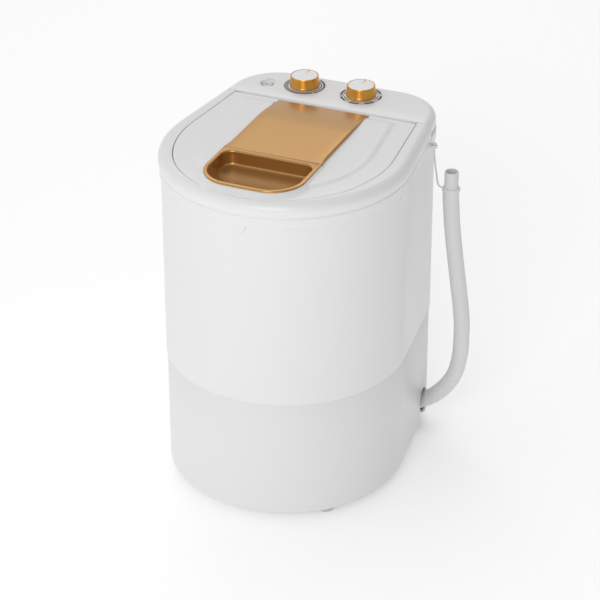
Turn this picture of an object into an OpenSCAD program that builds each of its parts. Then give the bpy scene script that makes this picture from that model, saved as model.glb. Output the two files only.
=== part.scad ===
// Compact top-load washing machine with a D-shaped cabinet, a lift-up lid,
// two rotary controls, a belt-driven pulsator and a hose that hangs to drain.
// Millimetres, +Z up, front of the machine towards -Y, floor at z = 0.

/* [Cabinet] */
// Width of the upper barrel at its widest
cabinet_w = 360; // [330:1:430]
// Depth of the upper barrel from front to back
cabinet_d = 420; // [400:1:500]
// Radius of the two rear corners of the plan
rear_corner_r = 75; // [60:1:85]
// Distance from the centre plane to each rear corner's centre
rear_corner_x = 85; // [75:1:95]
// Height of the floor of the base above the ground
ground_gap = 12; // [8:1:20]
// Height of the base casing
base_h = 190; // [185:1:240]
// Height of the barrel casing above the base
barrel_h = 285; // [240:1:360]
// Wall of the moulded casings
casing_wall = 2.8; // [2:0.1:4]
// How far the base stands inside the barrel all round
base_inset = 1.5; // [1:0.1:2.5]
// Width of the inward floor flange of the base
base_flange_w = 46; // [40:1:60]

/* [Top ring] */
// Height of the band that clasps the barrel
ring_band_h = 16; // [12:1:24]
// Height of the rounded shoulder above the band
ring_shoulder_h = 24; // [20:1:30]
// How far the band stands proud of the barrel
ring_band_proud = 2; // [1:0.5:3]
// How far the shoulder stands proud of the barrel
ring_shoulder_proud = 4.5; // [3.5:0.5:6]
// How far the shoulder rolls inwards to its flat top
ring_shoulder_run = 12; // [9:1:14]
// Wall of the ring
ring_wall = 3; // [2.4:0.1:4]
// Width of the half-round finger tabs under the band
tab_w = 30; // [20:1:40]
// Gap between casing parts that meet
seam_gap = 0.6; // [0.4:0.1:1]

/* [Lid] */
// Half-width of the lid at its widest
lid_half_w = 158; // [150:1:162]
// Radius of the lid's side arcs
lid_side_r = 200; // [190:1:215]
// Distance from the lid's widest line to its front edge
lid_front_reach = 172; // [168:1:174]
// Distance from the front arc's centre line to the lid's widest line
lid_centre_fwd = 0; // [-2:1:4]
// Angle at which the lid's sides close in towards the hinge
lid_taper = 6; // [4:0.5:8]
// Distance from the barrel's back to the hinge line
hinge_setback = 101; // [96:1:110]
// Thickness of the lid plate
lid_t = 9; // [8:0.5:11]
// Radius of the rolled rear edge that turns about the hinge pins
lid_roll_r = 4.5; // [4:0.25:4.5]
// Gap between the lid and the ring
lid_gap = 1.2; // [1:0.1:1.6]
// Rise of the lid's raised field above its border
lid_field_rise = 3; // [2:0.5:4]
// Width of the flat border round the raised field
lid_border_w = 26; // [20:1:34]
// Rise of the handle strip's crown above the border
lid_crown = 8; // [6:0.5:10]
// Radius of the hinge pins
hinge_pin_r = 2; // [1.5:0.1:2.4]
// Length of each hinge pin
hinge_pin_l = 30; // [24:1:40]
// Distance from the centre plane to the inner end of each hinge pin
hinge_pin_x = 118; // [112:1:120]

/* [Lid handle] */
// Width of the flat handle strip
strip_w = 146; // [130:1:150]
// Thickness of the flat handle strip
strip_t = 2; // [1.6:0.1:2.6]
// Width of the scooped handle
handle_w = 154; // [150:1:158]
// Distance from the lid's widest line to the scoop's back wall
handle_back_reach = 50; // [42:1:60]
// Length of the scooped handle from front to back
handle_l = 112; // [100:1:114]
// Radius of the handle's front corners
handle_corner_r = 40; // [30:1:46]
// Width of the handle's rim
handle_rim_w = 11; // [9:1:14]
// Extra width of the rim at the handle's front lip
lip_run = 6; // [5:0.5:10]
// Depth of the finger pocket below the crown
pocket_depth = 24; // [16:1:25]
// Wall of the finger pocket
pocket_wall = 2; // [1.6:0.1:2.6]
// Clearance of the handle in the lid
handle_clear = 0.4; // [0.3:0.1:0.8]

/* [Control panel] */
// Wall of the control panel
panel_wall = 2.6; // [2.2:0.1:3.4]
// Distance from the panel's back to the centre line of the dials
dial_setback = 42; // [38:1:45]
// Distance from the centre plane to the timer dial
timer_x = 56; // [52:1:60]
// Distance from the centre plane to the selector dial
selector_x = 35; // [33:1:42]
// Radius of a knob at its foot
knob_r = 22.5; // [18:0.5:24]
// Height of a knob
knob_h = 17; // [15:1:28]
// Draw-in of a knob from foot to top
knob_draft = 1.2; // [0:0.1:2]
// Radius of the disc on top of a knob
knob_cap_r = 19.6; // [15:0.1:19.8]
// Depth of the recess that holds the disc
knob_cap_t = 1.6; // [1:0.1:2]
// Radius of the knob shafts
knob_shaft_r = 3; // [2.5:0.1:4]
// Gap between a knob and the panel
knob_gap = 0.6; // [0.4:0.1:1]
// Distance from the centre plane to the water inlet
inlet_x = 111; // [108:1:114]
// Distance from the panel's back to the water inlet
inlet_setback = 55; // [52:1:58]
// Radius of the inlet's round recess
inlet_cup_r = 12; // [10:0.5:14]
// Radius of the inlet's spigot
inlet_spigot_r = 6.5; // [5:0.25:7]
// Bore of the inlet's spigot
inlet_bore_r = 4.5; // [3.5:0.25:5]

/* [Wash tub] */
// Outer radius of the wash tub
tub_r = 160; // [156:1:164]
// Wall of the wash tub
tub_wall = 2.6; // [2.2:0.1:3.2]
// Height of the tub's floor above the ground
tub_floor_z = 168; // [166:1:176]
// Width of the tub's rim flange
tub_flange_w = 7; // [6:1:8]
// Radius of the mouth through which washing goes into the tub
mouth_r = 151; // [140:1:153]
// Radius of the pulsator disc
pulsator_r = 92; // [80:1:105]
// Height of the pulsator's ribs above its disc
pulsator_rib_h = 16; // [10:1:22]

/* [Drive] */
// Radius of the drive shaft
shaft_r = 6; // [5:0.25:7]
// Outer radius of the shaft bushes
bush_r = 12; // [10:0.5:14]
// Running clearance of shafts in their bushes
run_clear = 0.05; // [0.02:0.01:0.09]
// Radius of the driven pulley
driven_pulley_r = 60; // [52:1:66]
// Radius of the motor pulley
motor_pulley_r = 15; // [12:0.5:18]
// Height of both pulleys
pulley_h = 12; // [10:1:14]
// Distance between the two shafts
shaft_spacing = 125; // [122:1:130]
// Radius of the motor's casing
motor_r = 46; // [40:1:48]
// Height of the motor's casing
motor_h = 48; // [38:1:50]
// Radius of the motor's shaft
motor_shaft_r = 4; // [3:0.25:5]

/* [Feet, hose and cord outlet] */
// Radius of a foot
foot_r = 13; // [10:0.5:15]
// Distance from the plan's arc centre to the front feet
foot_reach = 152; // [146:1:156]
// Offset of each rear foot from its corner's centre, both ways
foot_corner = 28; // [26:1:32]
// Outer diameter of the drain hose
hose_d = 25; // [20:1:30]
// Radius of the cuff at the hose's end
cuff_r = 10.5; // [8:0.5:12]
// Length of the cuff beyond its collar
cuff_l = 26; // [20:1:34]
// Radius of the bore for the mains cord
cord_bore_r = 3.6; // [3:0.1:5]

/* [Hidden] */
$fn = 96;

// Plan of the cabinet: a front circle, two rear circles and the lines that touch them
front_r = cabinet_w / 2;
arc_y = front_r - cabinet_d / 2;
corner_y = cabinet_d / 2 - rear_corner_r;
corner_run = norm([rear_corner_x, corner_y - arc_y]);
side_deg = atan2(corner_y - arc_y, rear_corner_x)
    - acos((front_r - rear_corner_r) / corner_run);
side_run = sqrt(pow(corner_run, 2) - pow(front_r - rear_corner_r, 2));

side_dip = 0.03;

// Levels
seam_z = ground_gap + base_h;
ring_z = seam_z + barrel_h;
crease_z = ring_z + ring_band_h;
barrel_top_z = ring_z + 8;
rim_z = crease_z + ring_shoulder_h;
ledge_z = rim_z - lid_t;
crown_z = rim_z + lid_crown;

// Lid outline
lid_y = arc_y + lid_centre_fwd;
lid_lens_x = lid_side_r - lid_half_w;
lid_nose_r = (pow(lid_side_r, 2) - pow(lid_front_reach, 2) - pow(lid_lens_x, 2))
    / (2 * (lid_side_r - lid_front_reach));
lid_nose_y = lid_y - lid_front_reach + lid_nose_r;
lid_join_deg = atan2(lid_y - lid_nose_y, lid_lens_x);
lid_join_y = lid_y - lid_side_r * sin(lid_join_deg);
hinge_y = cabinet_d / 2 - hinge_setback;
hinge_z = rim_z - lid_roll_r;
panel_front_y = hinge_y + lid_roll_r + lid_gap;

hinge_x_out = hinge_pin_x + 18;

// Handle
handle_back_y = lid_y - handle_back_reach;
handle_front_y = handle_back_y - handle_l;
strip_slope_l = 70;

// Controls
panel_z = rim_z + 1;
dial_y = cabinet_d / 2 - dial_setback;
inlet_y = cabinet_d / 2 - inlet_setback;
timer_size = [58, 50, 34];
selector_size = [44, 42, 30];

panel_screw_x = [-100, -14, 90];
panel_screw_y = panel_front_y + panel_wall + 6;

// Tub and drive
tub_rim_z = ring_z - 4;
mouth_back_y = hinge_y - 14;
bush_h = 12;
housing_top_z = tub_floor_z + 5;
housing_low_z = tub_floor_z - 62;
housing_bolt_r = 38;
nose_r = bush_r + 4;
disc_z = housing_top_z + 4;
belt_z = housing_low_z - 10 - pulley_h / 2;
belt_t = 5;
motor_y = arc_y + shaft_spacing;
motor_top_z = tub_floor_z - 16;
motor_bolt_r = 34;
bracket_t = 3;
bracket_w = 130;
bracket_l = 62;
fill_drop = 25;

// Bottom
flange_z = ground_gap + casing_wall;
plate_t = 2.5;
plate_z = flange_z + plate_t;
screw_r = 2;
foot_stem_r = 4;
foot_places = [for (x = [-1, 1]) each [
    [x * foot_reach * cos(45), arc_y - foot_reach * sin(45)],
    [x * (rear_corner_x + foot_corner), corner_y + foot_corner]]];
gland_x = 60;
gland_z = 70;
gland_neck_r = 7;
capacitor_at = [-95, 118];
capacitor_r = 19;
drain_bore_r = 9.5;
roll_steps = 5;

// Hose: the route starts behind the motor, leaves by the notch and rises at the side
hose_route = [[100, 131, 34], [121, 131, 36], [141, 130, 41], [160, 130, 50],
              [177, 129, 62], [191, 128, 77], [203, 127, 94], [212, 126, 113],
              [217, 125, 133], [220, 124, 154], [221, 123, 176], [221, 123, 200],
              [219, 122, 228], [215, 121, 262], [210, 120, 300], [205, 120, 338],
              [201, 120, 372], [199, 120, 400], [198, 120, 412], [198, 120, 424]];
hose_sides = 12;
hose_end = hose_route[len(hose_route) - 1];
notch_at = [138, 130, 50];
drain_at = [84, 70];
collar_h = 6;

// Strap: from the toggle above the ring's lug down to the hose's collar
lug_y = 120;
lug_x = 163.5;
lug_reach = 9.5;
lug_low_z = ring_z + 2;
strap_r = 1.4;
strap_x = lug_x + lug_reach - 3;
strap_route = [[strap_x, lug_y, lug_low_z + 7], [strap_x, lug_y, lug_low_z - 2],
               [strap_x + 1, lug_y, 472], [strap_x + 3, lug_y, 456],
               [strap_x + 5, lug_y, 444], [strap_x + 6, lug_y, 436],
               [strap_x + 8, lug_y, 430], [strap_x + 11, lug_y, 427.5],
               [hose_end[0] - hose_d / 2 - 1, lug_y, 427]];

// ---------- shared shapes ----------

// Plan of the cabinet, grown outwards by off; its sides cross the arcs by a hair
module plan(off = 0) {
    a = side_deg;
    rf = front_r + off - side_dip;
    rb = rear_corner_r + off - side_dip;
    f = [rf * cos(a), arc_y + rf * sin(a)];
    b = [rear_corner_x + rb * cos(a), corner_y + rb * sin(a)];
    t = [rear_corner_x, corner_y + rb];
    translate([0, arc_y]) circle(front_r + off, $fn = 180);
    for (s = [-1, 1]) translate([s * rear_corner_x, corner_y]) circle(rear_corner_r + off);
    polygon([[-f[0], f[1]], f, b, t, [-t[0], t[1]], [-b[0], b[1]]]);
}

// Wall that follows the plan between two offsets
module plan_wall(outer, inner, z, h) {
    translate([0, 0, z]) linear_extrude(h) difference() {
        plan(outer);
        plan(inner);
    }
}

// Solid that follows the plan and rolls over to a flat top, in shallow steps
module rolled_block(off, low, top, r) {
    plan_block(off, low, top - r);
    for (i = [0:roll_steps - 1]) let (a = 90 * i / roll_steps, b = 90 * (i + 1) / roll_steps)
        plan_block(off - r + r * (cos(a) + cos(b)) / 2, low, top - r + r * sin(b));
}

// Upright block of the plan between two heights
module plan_block(off, low, high) {
    translate([0, 0, low]) linear_extrude(high - low) plan(off);
}

// Outline of the lid, grown by off and cut straight at the hinge line
module lid_plan(off = 0, back_y = hinge_y) {
    taper_y = lid_y + (lid_side_r + off) * sin(lid_taper);
    taper_x = -lid_lens_x + (lid_side_r + off) * cos(lid_taper);
    back_x = taper_x - (back_y - taper_y) * tan(lid_taper);
    translate([0, lid_nose_y]) circle(lid_nose_r + off, $fn = 180);
    intersection() {
        translate([-lid_lens_x, lid_y]) circle(lid_side_r + off, $fn = 240);
        translate([lid_lens_x, lid_y]) circle(lid_side_r + off, $fn = 240);
        translate([-cabinet_w, lid_join_y]) square([2 * cabinet_w, taper_y - lid_join_y]);
    }
    polygon([[-taper_x, taper_y], [taper_x, taper_y], [back_x, back_y], [-back_x, back_y]]);
}

// Lid outline cut off square behind back_y
module lid_cut(off, back_y) {
    intersection() {
        lid_plan(off, back_y);
        translate([-cabinet_w, -cabinet_d]) square([2 * cabinet_w, cabinet_d + back_y]);
    }
}

// Upright tube
module tube(r_out, r_in, h) {
    difference() {
        cylinder(r = r_out, h = h);
        translate([0, 0, -1]) cylinder(r = r_in, h = h + 2);
    }
}

// Plain round-headed screw, head downwards, tip upwards
module screw(r, l) {
    cylinder(r = 2 * r, h = r);
    cylinder(r = r, h = l);
}

// Places the children once for each bolt on a circle
module on_circle(radius, count, start = 0) {
    for (i = [0:count - 1]) rotate([0, 0, start + 360 * i / count])
        translate([radius, 0, 0]) children();
}

// Places the children at each foot
module at_feet() {
    for (p = foot_places) translate([p[0], p[1], 0]) children();
}

// ---------- base ----------

module base_casing() {
    out = -base_inset;
    color("white") difference() {
        union() {
            plan_wall(out, out - casing_wall, ground_gap, base_h);
            plan_wall(out - 1, out - base_flange_w, ground_gap, casing_wall);
            // spigot that locates the barrel, and the web that carries it
            plan_wall(-casing_wall - seam_gap, -2 * casing_wall - seam_gap,
                      seam_z - 12, 22);
            plan_wall(out - 1, -casing_wall - seam_gap - 1, seam_z - 12, 4);
        }
        at_feet() translate([0, 0, ground_gap - 1])
            cylinder(r = foot_stem_r + 0.2, h = casing_wall + 2);
        on_floor_screws() cylinder(r = screw_r + 0.1, h = flange_z + 1);
        // notch that lets the drain hose out of the rear corner
        hose_notch(0);
        // hole for the cord gland
        translate([-gland_x, cabinet_d / 2 + 10, gland_z]) rotate([90, 0, 0])
            cylinder(r = gland_neck_r + 0.1, h = 40);
    }
}

// Round-topped slot, open to the ground, where the hose leaves the base
module hose_notch(grow) {
    w = hose_d / 2 + 6.5 + grow;
    translate([notch_at[0] - grow, notch_at[1], 0]) rotate([90, 0, 90]) linear_extrude(70) {
        translate([0, notch_at[2]]) circle(w);
        translate([-w + 0.3, -1]) square([2 * w - 0.6, notch_at[2] + 1]);
    }
}

module floor_plate() {
    out = -base_inset - casing_wall - 0.5;
    color("gainsboro") translate([0, 0, flange_z]) difference() {
        linear_extrude(plate_t) plan(out);
        at_feet() translate([0, 0, -1]) cylinder(r = foot_stem_r + 0.2, h = plate_t + 2);
        for (x = [-54:18:54]) translate([x, 40, -1]) linear_extrude(plate_t + 2) {
            translate([0, 40]) circle(4);
            translate([0, -40]) circle(4);
            translate([-4, -40]) square([8, 80]);
        }
        translate([0, 0, -flange_z]) hose_notch(1);
        on_floor_screws() translate([0, 0, -1]) cylinder(r = screw_r + 0.1, h = plate_t + 2);
    }
}

// Places of the screws that hold the floor plate
module on_floor_screws() {
    for (a = [-90, 0, 180]) translate([foot_reach * cos(a), arc_y + foot_reach * sin(a), 0])
        children();
}

module floor_screws() {
    color("silver") on_floor_screws() {
        translate([0, 0, plate_z]) cylinder(r = 2 * screw_r, h = screw_r);
        translate([0, 0, ground_gap + 0.3]) cylinder(r = screw_r, h = plate_z - ground_gap);
    }
}

module feet() {
    color("lightgray") at_feet() {
        cylinder(r = foot_r - 1.5, h = ground_gap);
        translate([0, 0, 2]) cylinder(r = foot_r, h = ground_gap - 2);
        cylinder(r = foot_stem_r, h = plate_z + 3);
    }
}

// ---------- cabinet and ring ----------

module barrel() {
    color("white") plan_wall(0, -casing_wall, seam_z, barrel_h + 8);
}

// Opening that washing goes through, grown by off
module mouth(off = 0) {
    intersection() {
        translate([0, arc_y]) circle(mouth_r + off, $fn = 180);
        translate([-cabinet_w, -cabinet_d])
            square([2 * cabinet_w, cabinet_d + mouth_back_y + off]);
    }
}

module top_ring() {
    color("white") difference() {
        union() {
            difference() {
                rolled_block(ring_shoulder_proud, crease_z, rim_z, ring_shoulder_run);
                plan_block(ring_shoulder_proud - ring_wall, crease_z - 1,
                           rim_z - ring_shoulder_run);
                plan_block(ring_shoulder_proud - ring_shoulder_run - 1,
                           rim_z - ring_shoulder_run - 1, rim_z - ring_wall);
            }
            plan_wall(ring_band_proud, seam_gap / 2, ring_z, ring_band_h + 2);
            // shelf that rests on the barrel's top edge
            plan_wall(ring_band_proud - 0.5, -casing_wall - 1, barrel_top_z, ring_wall);
            // well that the lid lies in, and the ledge under it
            translate([0, 0, ledge_z - ring_wall]) linear_extrude(lid_t + ring_wall - 1)
                lid_cut(lid_gap + ring_wall, panel_front_y - seam_gap);
            // funnel from the ledge down to the tub
            translate([0, 0, tub_rim_z]) linear_extrude(ledge_z - tub_rim_z - 1)
                mouth(ring_wall);
            translate([0, arc_y, tub_rim_z])
                cylinder(r = tub_r + tub_flange_w, h = ring_wall, $fn = 180);
            // rear deck under the control panel
            translate([0, 0, crease_z - ring_wall]) linear_extrude(ring_wall) difference() {
                plan(seam_gap);
                translate([-cabinet_w, -cabinet_d])
                    square([2 * cabinet_w, cabinet_d + mouth_back_y + 1]);
            }
            ring_tabs();
            strap_lug();
        }
        translate([0, 0, tub_rim_z - 1]) linear_extrude(rim_z) mouth();
        plan_wall(seam_gap / 2, -casing_wall - seam_gap / 2, ring_z - 20, 28);
        // room for the handle's finger pocket
        translate([0, 0, ledge_z - 30]) linear_extrude(60)
            handle_outline(handle_rim_w - pocket_wall - 1.5, lip_run);
        translate([0, 0, ledge_z]) linear_extrude(rim_z)
            lid_cut(lid_gap, panel_front_y + 1);
        // relief under the lid's rolled rear edge
        translate([0, 0, ledge_z - 1.4]) linear_extrude(rim_z) difference() {
            lid_cut(lid_gap, panel_front_y + 1);
            translate([-cabinet_w, -cabinet_d])
                square([2 * cabinet_w, cabinet_d + hinge_y - lid_roll_r - 1]);
        }
        // the panel stands behind the hinge line
        translate([-cabinet_w, panel_front_y - seam_gap, crease_z])
            cube([2 * cabinet_w, cabinet_d, rim_z]);
        // wells for the timer and the selector
        for (w = [[-timer_x, timer_size], [selector_x, selector_size]])
            translate([w[0] - w[1][0] / 2 - 3, dial_y - w[1][1] / 2 - 3, crease_z - 10])
                cube([w[1][0] + 6, w[1][1] + 6, 20]);
        translate([-inlet_x, inlet_y, crease_z - 10]) cylinder(r = 9, h = 20);
        for (x = panel_screw_x) translate([x, panel_screw_y, crease_z - 10])
            cylinder(r = screw_r + 0.1, h = 20);
        hinge_bores(run_clear);
        on_ring_screws() cylinder(r = screw_r + 0.1, h = ring_wall + 2);
    }
}

// Half-round tabs that hang under the band at the front and both sides
module ring_tabs() {
    for (a = [-90, -8, 188]) translate([0, arc_y, ring_z]) rotate([0, 0, a])
        translate([front_r + 0.3, 0, 0]) rotate([0, 90, 0]) intersection() {
            cylinder(r = tab_w / 2, h = ring_band_proud - 0.3, $fn = 64);
            translate([-1, -tab_w, -1]) cube([tab_w, 2 * tab_w, 10]);
        }
}

// Lug on the right side that the hose strap hooks into
module strap_lug() {
    translate([lug_x, lug_y, lug_low_z]) difference() {
        union() {
            translate([-1, -4.6, 0]) cube([lug_reach - 4, 9.2, 5]);
            translate([lug_reach - 5, 0, 0]) cylinder(r = 5, h = 5, $fn = 48);
        }
        translate([lug_reach - 3, 0, -1]) cylinder(r = strap_r + 0.2, h = 12);
    }
}

// Bores through the ring's hinge walls for the two pins
module hinge_bores(clear) {
    for (s = [-1, 1]) translate([s * (hinge_pin_x + hinge_pin_l / 2), hinge_y, hinge_z])
        rotate([0, 90, 0]) cylinder(r = hinge_pin_r + clear, h = hinge_pin_l + 2,
                                    center = true);
}

// Places of the screws that hold the tub to the ring
module on_ring_screws() {
    translate([0, arc_y, tub_rim_z - 1]) on_circle(tub_r + tub_flange_w / 2, 6, 30)
        children();
}

module ring_screws() {
    color("silver") translate([0, 0, -2 - screw_r]) on_ring_screws()
        screw(0.85 * screw_r, 6 + screw_r);
}

module wash_tub() {
    h = tub_rim_z - tub_floor_z;
    in = tub_r - tub_wall;
    foot = 14;
    color("whitesmoke") translate([0, arc_y, 0]) difference() {
        union() {
            translate([0, 0, tub_floor_z - tub_wall]) rotate_extrude($fn = 180)
                difference() {
                    union() {
                        square([tub_r, h + tub_wall]);
                        translate([0, h + tub_wall - 3]) square([tub_r + tub_flange_w, 3]);
                    }
                    translate([-1, foot]) square([in + 1, h + tub_wall]);
                    translate([-1, tub_wall]) square([in - foot + tub_wall + 1, foot]);
                    translate([in - foot + tub_wall, foot]) circle(foot - tub_wall);
                    difference() {
                        translate([tub_r - foot, -1]) square([foot + 1, foot + 1]);
                        translate([tub_r - foot, foot]) circle(foot);
                    }
                }
        }
        translate([0, 0, tub_floor_z - 10]) cylinder(r = nose_r + 0.2, h = 20);
        translate([drain_at[0], drain_at[1] - arc_y, tub_floor_z - 10])
            cylinder(r = drain_bore_r, h = 20);
        translate([0, 0, tub_rim_z - 10]) on_circle(tub_r + tub_flange_w / 2, 6, 30)
            cylinder(r = screw_r + 0.1, h = 20);
        translate([0, 0, tub_floor_z - 10]) on_circle(housing_bolt_r, 4, 45)
            cylinder(r = screw_r + 0.1, h = 20);
        // hole that the fill pipe comes in through
        translate([0, -arc_y, 0]) fill_run(inlet_spigot_r + 1.2, 0);
    }
}

// Slim lint cassette on the tub's back wall
module lint_filter() {
    w = 70;
    h = 120;
    back = arc_y + sqrt(pow(tub_r - tub_wall, 2) - pow(w / 2, 2)) - 0.5;
    color("white") translate([-w / 2, back - 14, 310]) difference() {
        cube([w, 14, h]);
        translate([3, 2.5, 3]) cube([w - 6, 14, h - 6]);
        for (x = [8:9:w - 8], z = [10:10:h - 10]) translate([x, -1, z])
            cube([5, 5, 6]);
    }
}

// ---------- control panel ----------

module control_panel() {
    low = crease_z + seam_gap;
    color("white") difference() {
        union() {
            panel_shell(low);
            for (x = panel_screw_x) translate([x, panel_screw_y, crease_z])
                cylinder(r = screw_r + 2.4, h = panel_z - panel_wall - crease_z + 0.5);
        }
        for (x = panel_screw_x) translate([x, panel_screw_y, crease_z - 1])
            cylinder(r = screw_r + 0.02, h = panel_z - panel_wall - crease_z);
        for (x = [-timer_x, selector_x]) translate([x, dial_y, panel_z - 10])
            cylinder(r = knob_shaft_r + 1, h = 20);
        translate([-inlet_x, inlet_y, panel_z - 10]) cylinder(r = inlet_cup_r + 0.1, h = 20);
    }
}

// Shell of the panel, from its lower edge up
module panel_shell(low) {
    difference() {
        rolled_block(ring_shoulder_proud, low, panel_z, ring_shoulder_run);
        intersection() {
            union() {
                plan_block(ring_shoulder_proud - panel_wall, low - 1,
                           panel_z - ring_shoulder_run);
                plan_block(ring_shoulder_proud - ring_shoulder_run - 1,
                           panel_z - ring_shoulder_run - 1, panel_z - panel_wall);
            }
            translate([-cabinet_w, panel_front_y + panel_wall, 0])
                cube([2 * cabinet_w, cabinet_d, panel_z]);
        }
        translate([-cabinet_w, -cabinet_d, 0])
            cube([2 * cabinet_w, cabinet_d + panel_front_y, panel_z + 1]);
    }
}

// Screws that hold the panel from below, through the deck into its posts
module panel_screws() {
    color("silver") for (x = panel_screw_x)
        translate([x, panel_screw_y, crease_z - ring_wall - screw_r])
            screw(screw_r, panel_z - panel_wall - crease_z + ring_wall + screw_r - 1);
}

module water_inlet() {
    depth = 9;
    top = panel_z - 0.4;
    color("white") translate([-inlet_x, inlet_y, 0]) difference() {
        union() {
            translate([0, 0, top - depth]) tube(inlet_cup_r, inlet_cup_r - 1.6, depth);
            translate([0, 0, top - depth]) cylinder(r = inlet_cup_r - 1, h = 1.6);
            translate([0, 0, top - depth]) cylinder(r = inlet_spigot_r, h = depth - 0.5);
            translate([0, 0, crease_z + 1]) cylinder(r = inlet_spigot_r + 1,
                                                    h = top - depth - crease_z - 1);
        }
        translate([0, 0, crease_z - 1]) cylinder(r = inlet_bore_r, h = 60);
    }
}

// Pipe from the inlet down behind the tub, then forward through the tub's wall
module fill_pipe() {
    top = crease_z + 1;
    low = tub_rim_z - fill_drop;
    color("lightgray") difference() {
        union() {
            translate([-inlet_x, inlet_y, low]) cylinder(r = inlet_spigot_r + 1, h = top - low);
            translate([-inlet_x, inlet_y, low]) pipe_corner(inlet_spigot_r + 1.5);
            fill_run(inlet_spigot_r + 1, 0);
        }
        translate([-inlet_x, inlet_y, low]) cylinder(r = inlet_bore_r, h = top);
        translate([-inlet_x, inlet_y, low]) pipe_corner(inlet_bore_r + 0.5);
        fill_run(inlet_bore_r, 2);
    }
}

// Level run of the fill pipe towards the tub's middle
module fill_run(r, more) {
    d = [inlet_x, arc_y - inlet_y, 0];
    pipe_between([-inlet_x, inlet_y, tub_rim_z - fill_drop],
                 [-inlet_x, inlet_y, tub_rim_z - fill_drop]
                 + unit(d) * (norm(d) - tub_r + 8 + more), r);
}

module timer_unit() {
    s = timer_size;
    top = panel_z - panel_wall;
    color("dimgray") translate([-timer_x, dial_y, top - s[2]]) difference() {
        union() {
            translate([-s[0] / 2, -s[1] / 2, 0]) cube([s[0], s[1], s[2] - 3]);
            cylinder(r = 12, h = s[2]);
        }
        translate([0, 0, s[2] - 16]) cylinder(r = knob_shaft_r + run_clear, h = 20);
    }
}

module selector_switch() {
    s = selector_size;
    top = panel_z - panel_wall;
    color("dimgray") translate([selector_x, dial_y, top - s[2]]) difference() {
        union() {
            translate([-s[0] / 2, -s[1] / 2, 0]) cube([s[0], s[1], s[2] - 3]);
            cylinder(r = 12, h = s[2]);
        }
        translate([0, 0, s[2] - 16]) cylinder(r = knob_shaft_r + run_clear, h = 20);
    }
}

// Shaft that stands out of a control and carries its knob
module control_shaft(x) {
    low = panel_z - panel_wall - 14;
    top = panel_z + knob_gap + knob_h - 6.2;
    color("silver") translate([x, dial_y, low]) cylinder(r = knob_shaft_r, h = top - low);
}

module timer_shaft() { control_shaft(-timer_x); }
module selector_shaft() { control_shaft(selector_x); }

// Tapered knob, hollow below, with a recess for its disc and a pointer rib
module knob(x) {
    low = panel_z + knob_gap;
    top_r = knob_r - knob_draft;
    color("goldenrod") translate([x, dial_y, low]) difference() {
        union() {
            difference() {
                cylinder(r1 = knob_r, r2 = top_r, h = knob_h);
                translate([0, 0, knob_h - knob_cap_t]) cylinder(r = knob_cap_r + 0.1, h = 5);
                translate([0, 0, -1]) cylinder(r = knob_r - 3.5, h = knob_h - 5);
            }
            cylinder(r = knob_shaft_r + 3, h = knob_h - 4);
            translate([-1.1, 7, knob_h - knob_cap_t - 0.5])
                cube([2.2, knob_cap_r - 7, knob_cap_t + 0.4]);
        }
        translate([0, 0, -1]) cylinder(r = knob_shaft_r + run_clear, h = knob_h - 5);
    }
}

module timer_knob() { knob(-timer_x); }
module selector_knob() { knob(selector_x); }

// White disc on a knob, slotted for the pointer rib
module knob_cap(x) {
    color("white") translate([x, dial_y, panel_z + knob_gap + knob_h - knob_cap_t])
        difference() {
            cylinder(r = knob_cap_r, h = knob_cap_t - 0.1);
            translate([-1.3, 6.8, -1]) cube([2.6, knob_cap_r, 5]);
        }
}

module timer_knob_cap() { knob_cap(-timer_x); }
module selector_knob_cap() { knob_cap(selector_x); }

// ---------- lid ----------

// Rise of the strip above the rim at the place y, as the side view's outline
function strip_points(t) = [[hinge_y, rim_z + 0.2], [hinge_y - 10, rim_z + 0.2],
    [hinge_y - strip_slope_l, crown_z], [handle_back_y, crown_z], [handle_back_y, crown_z - t],
    [hinge_y - strip_slope_l, crown_z - t], [hinge_y - 10, rim_z + 0.2 - t],
    [hinge_y, rim_z + 0.2 - t]];

// Outline of the scooped handle, drawn in by off, and at the front by off + front_off
module handle_outline(off = 0, front_off = 0) {
    w = handle_w / 2 - off;
    r = handle_corner_r - off;
    back = handle_back_y - off;
    front = handle_front_y + off + front_off;
    for (s = [-1, 1]) translate([s * (w - r), front + r]) circle(r);
    translate([-w, front + r]) square([2 * w, back - front - r]);
    translate([r - w, front]) square([2 * (w - r), r + 1]);
}

module lid() {
    color("white") difference() {
        union() {
            translate([0, 0, ledge_z]) linear_extrude(lid_t) lid_cut(0, hinge_y);
            translate([0, 0, rim_z]) linear_extrude(lid_field_rise)
                lid_cut(-lid_border_w, hinge_y - 24);
            translate([1 - hinge_x_out, hinge_y, hinge_z]) rotate([0, 90, 0])
                cylinder(r = lid_roll_r, h = 2 * hinge_x_out - 2);
            // bed under the strip and the handle
            translate([-strip_w / 2, 0, 0]) rotate([90, 0, 90]) linear_extrude(strip_w)
                polygon([[hinge_y, rim_z - 1], [hinge_y, rim_z - strip_t],
                         [hinge_y - strip_slope_l, crown_z - strip_t],
                         [handle_back_y, crown_z - strip_t], [handle_back_y, rim_z - 1]]);
            translate([0, 0, rim_z - 1]) linear_extrude(lid_crown + 1 - 3) handle_outline(2);
        }
        // hollow underside
        translate([0, 0, ledge_z - 1]) linear_extrude(lid_t - 2) difference() {
            lid_cut(-10, hinge_y - 16);
            handle_outline(handle_rim_w - 6);
        }
        translate([0, 0, ledge_z - 20]) linear_extrude(60)
            handle_outline(handle_rim_w - pocket_wall - handle_clear, lip_run);
        // seat of the strip
        translate([-strip_w / 2 - 0.2, 0, 0]) rotate([90, 0, 90])
            linear_extrude(strip_w + 0.4) polygon(strip_points(strip_t));
        hinge_bores(run_clear);
    }
}

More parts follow.
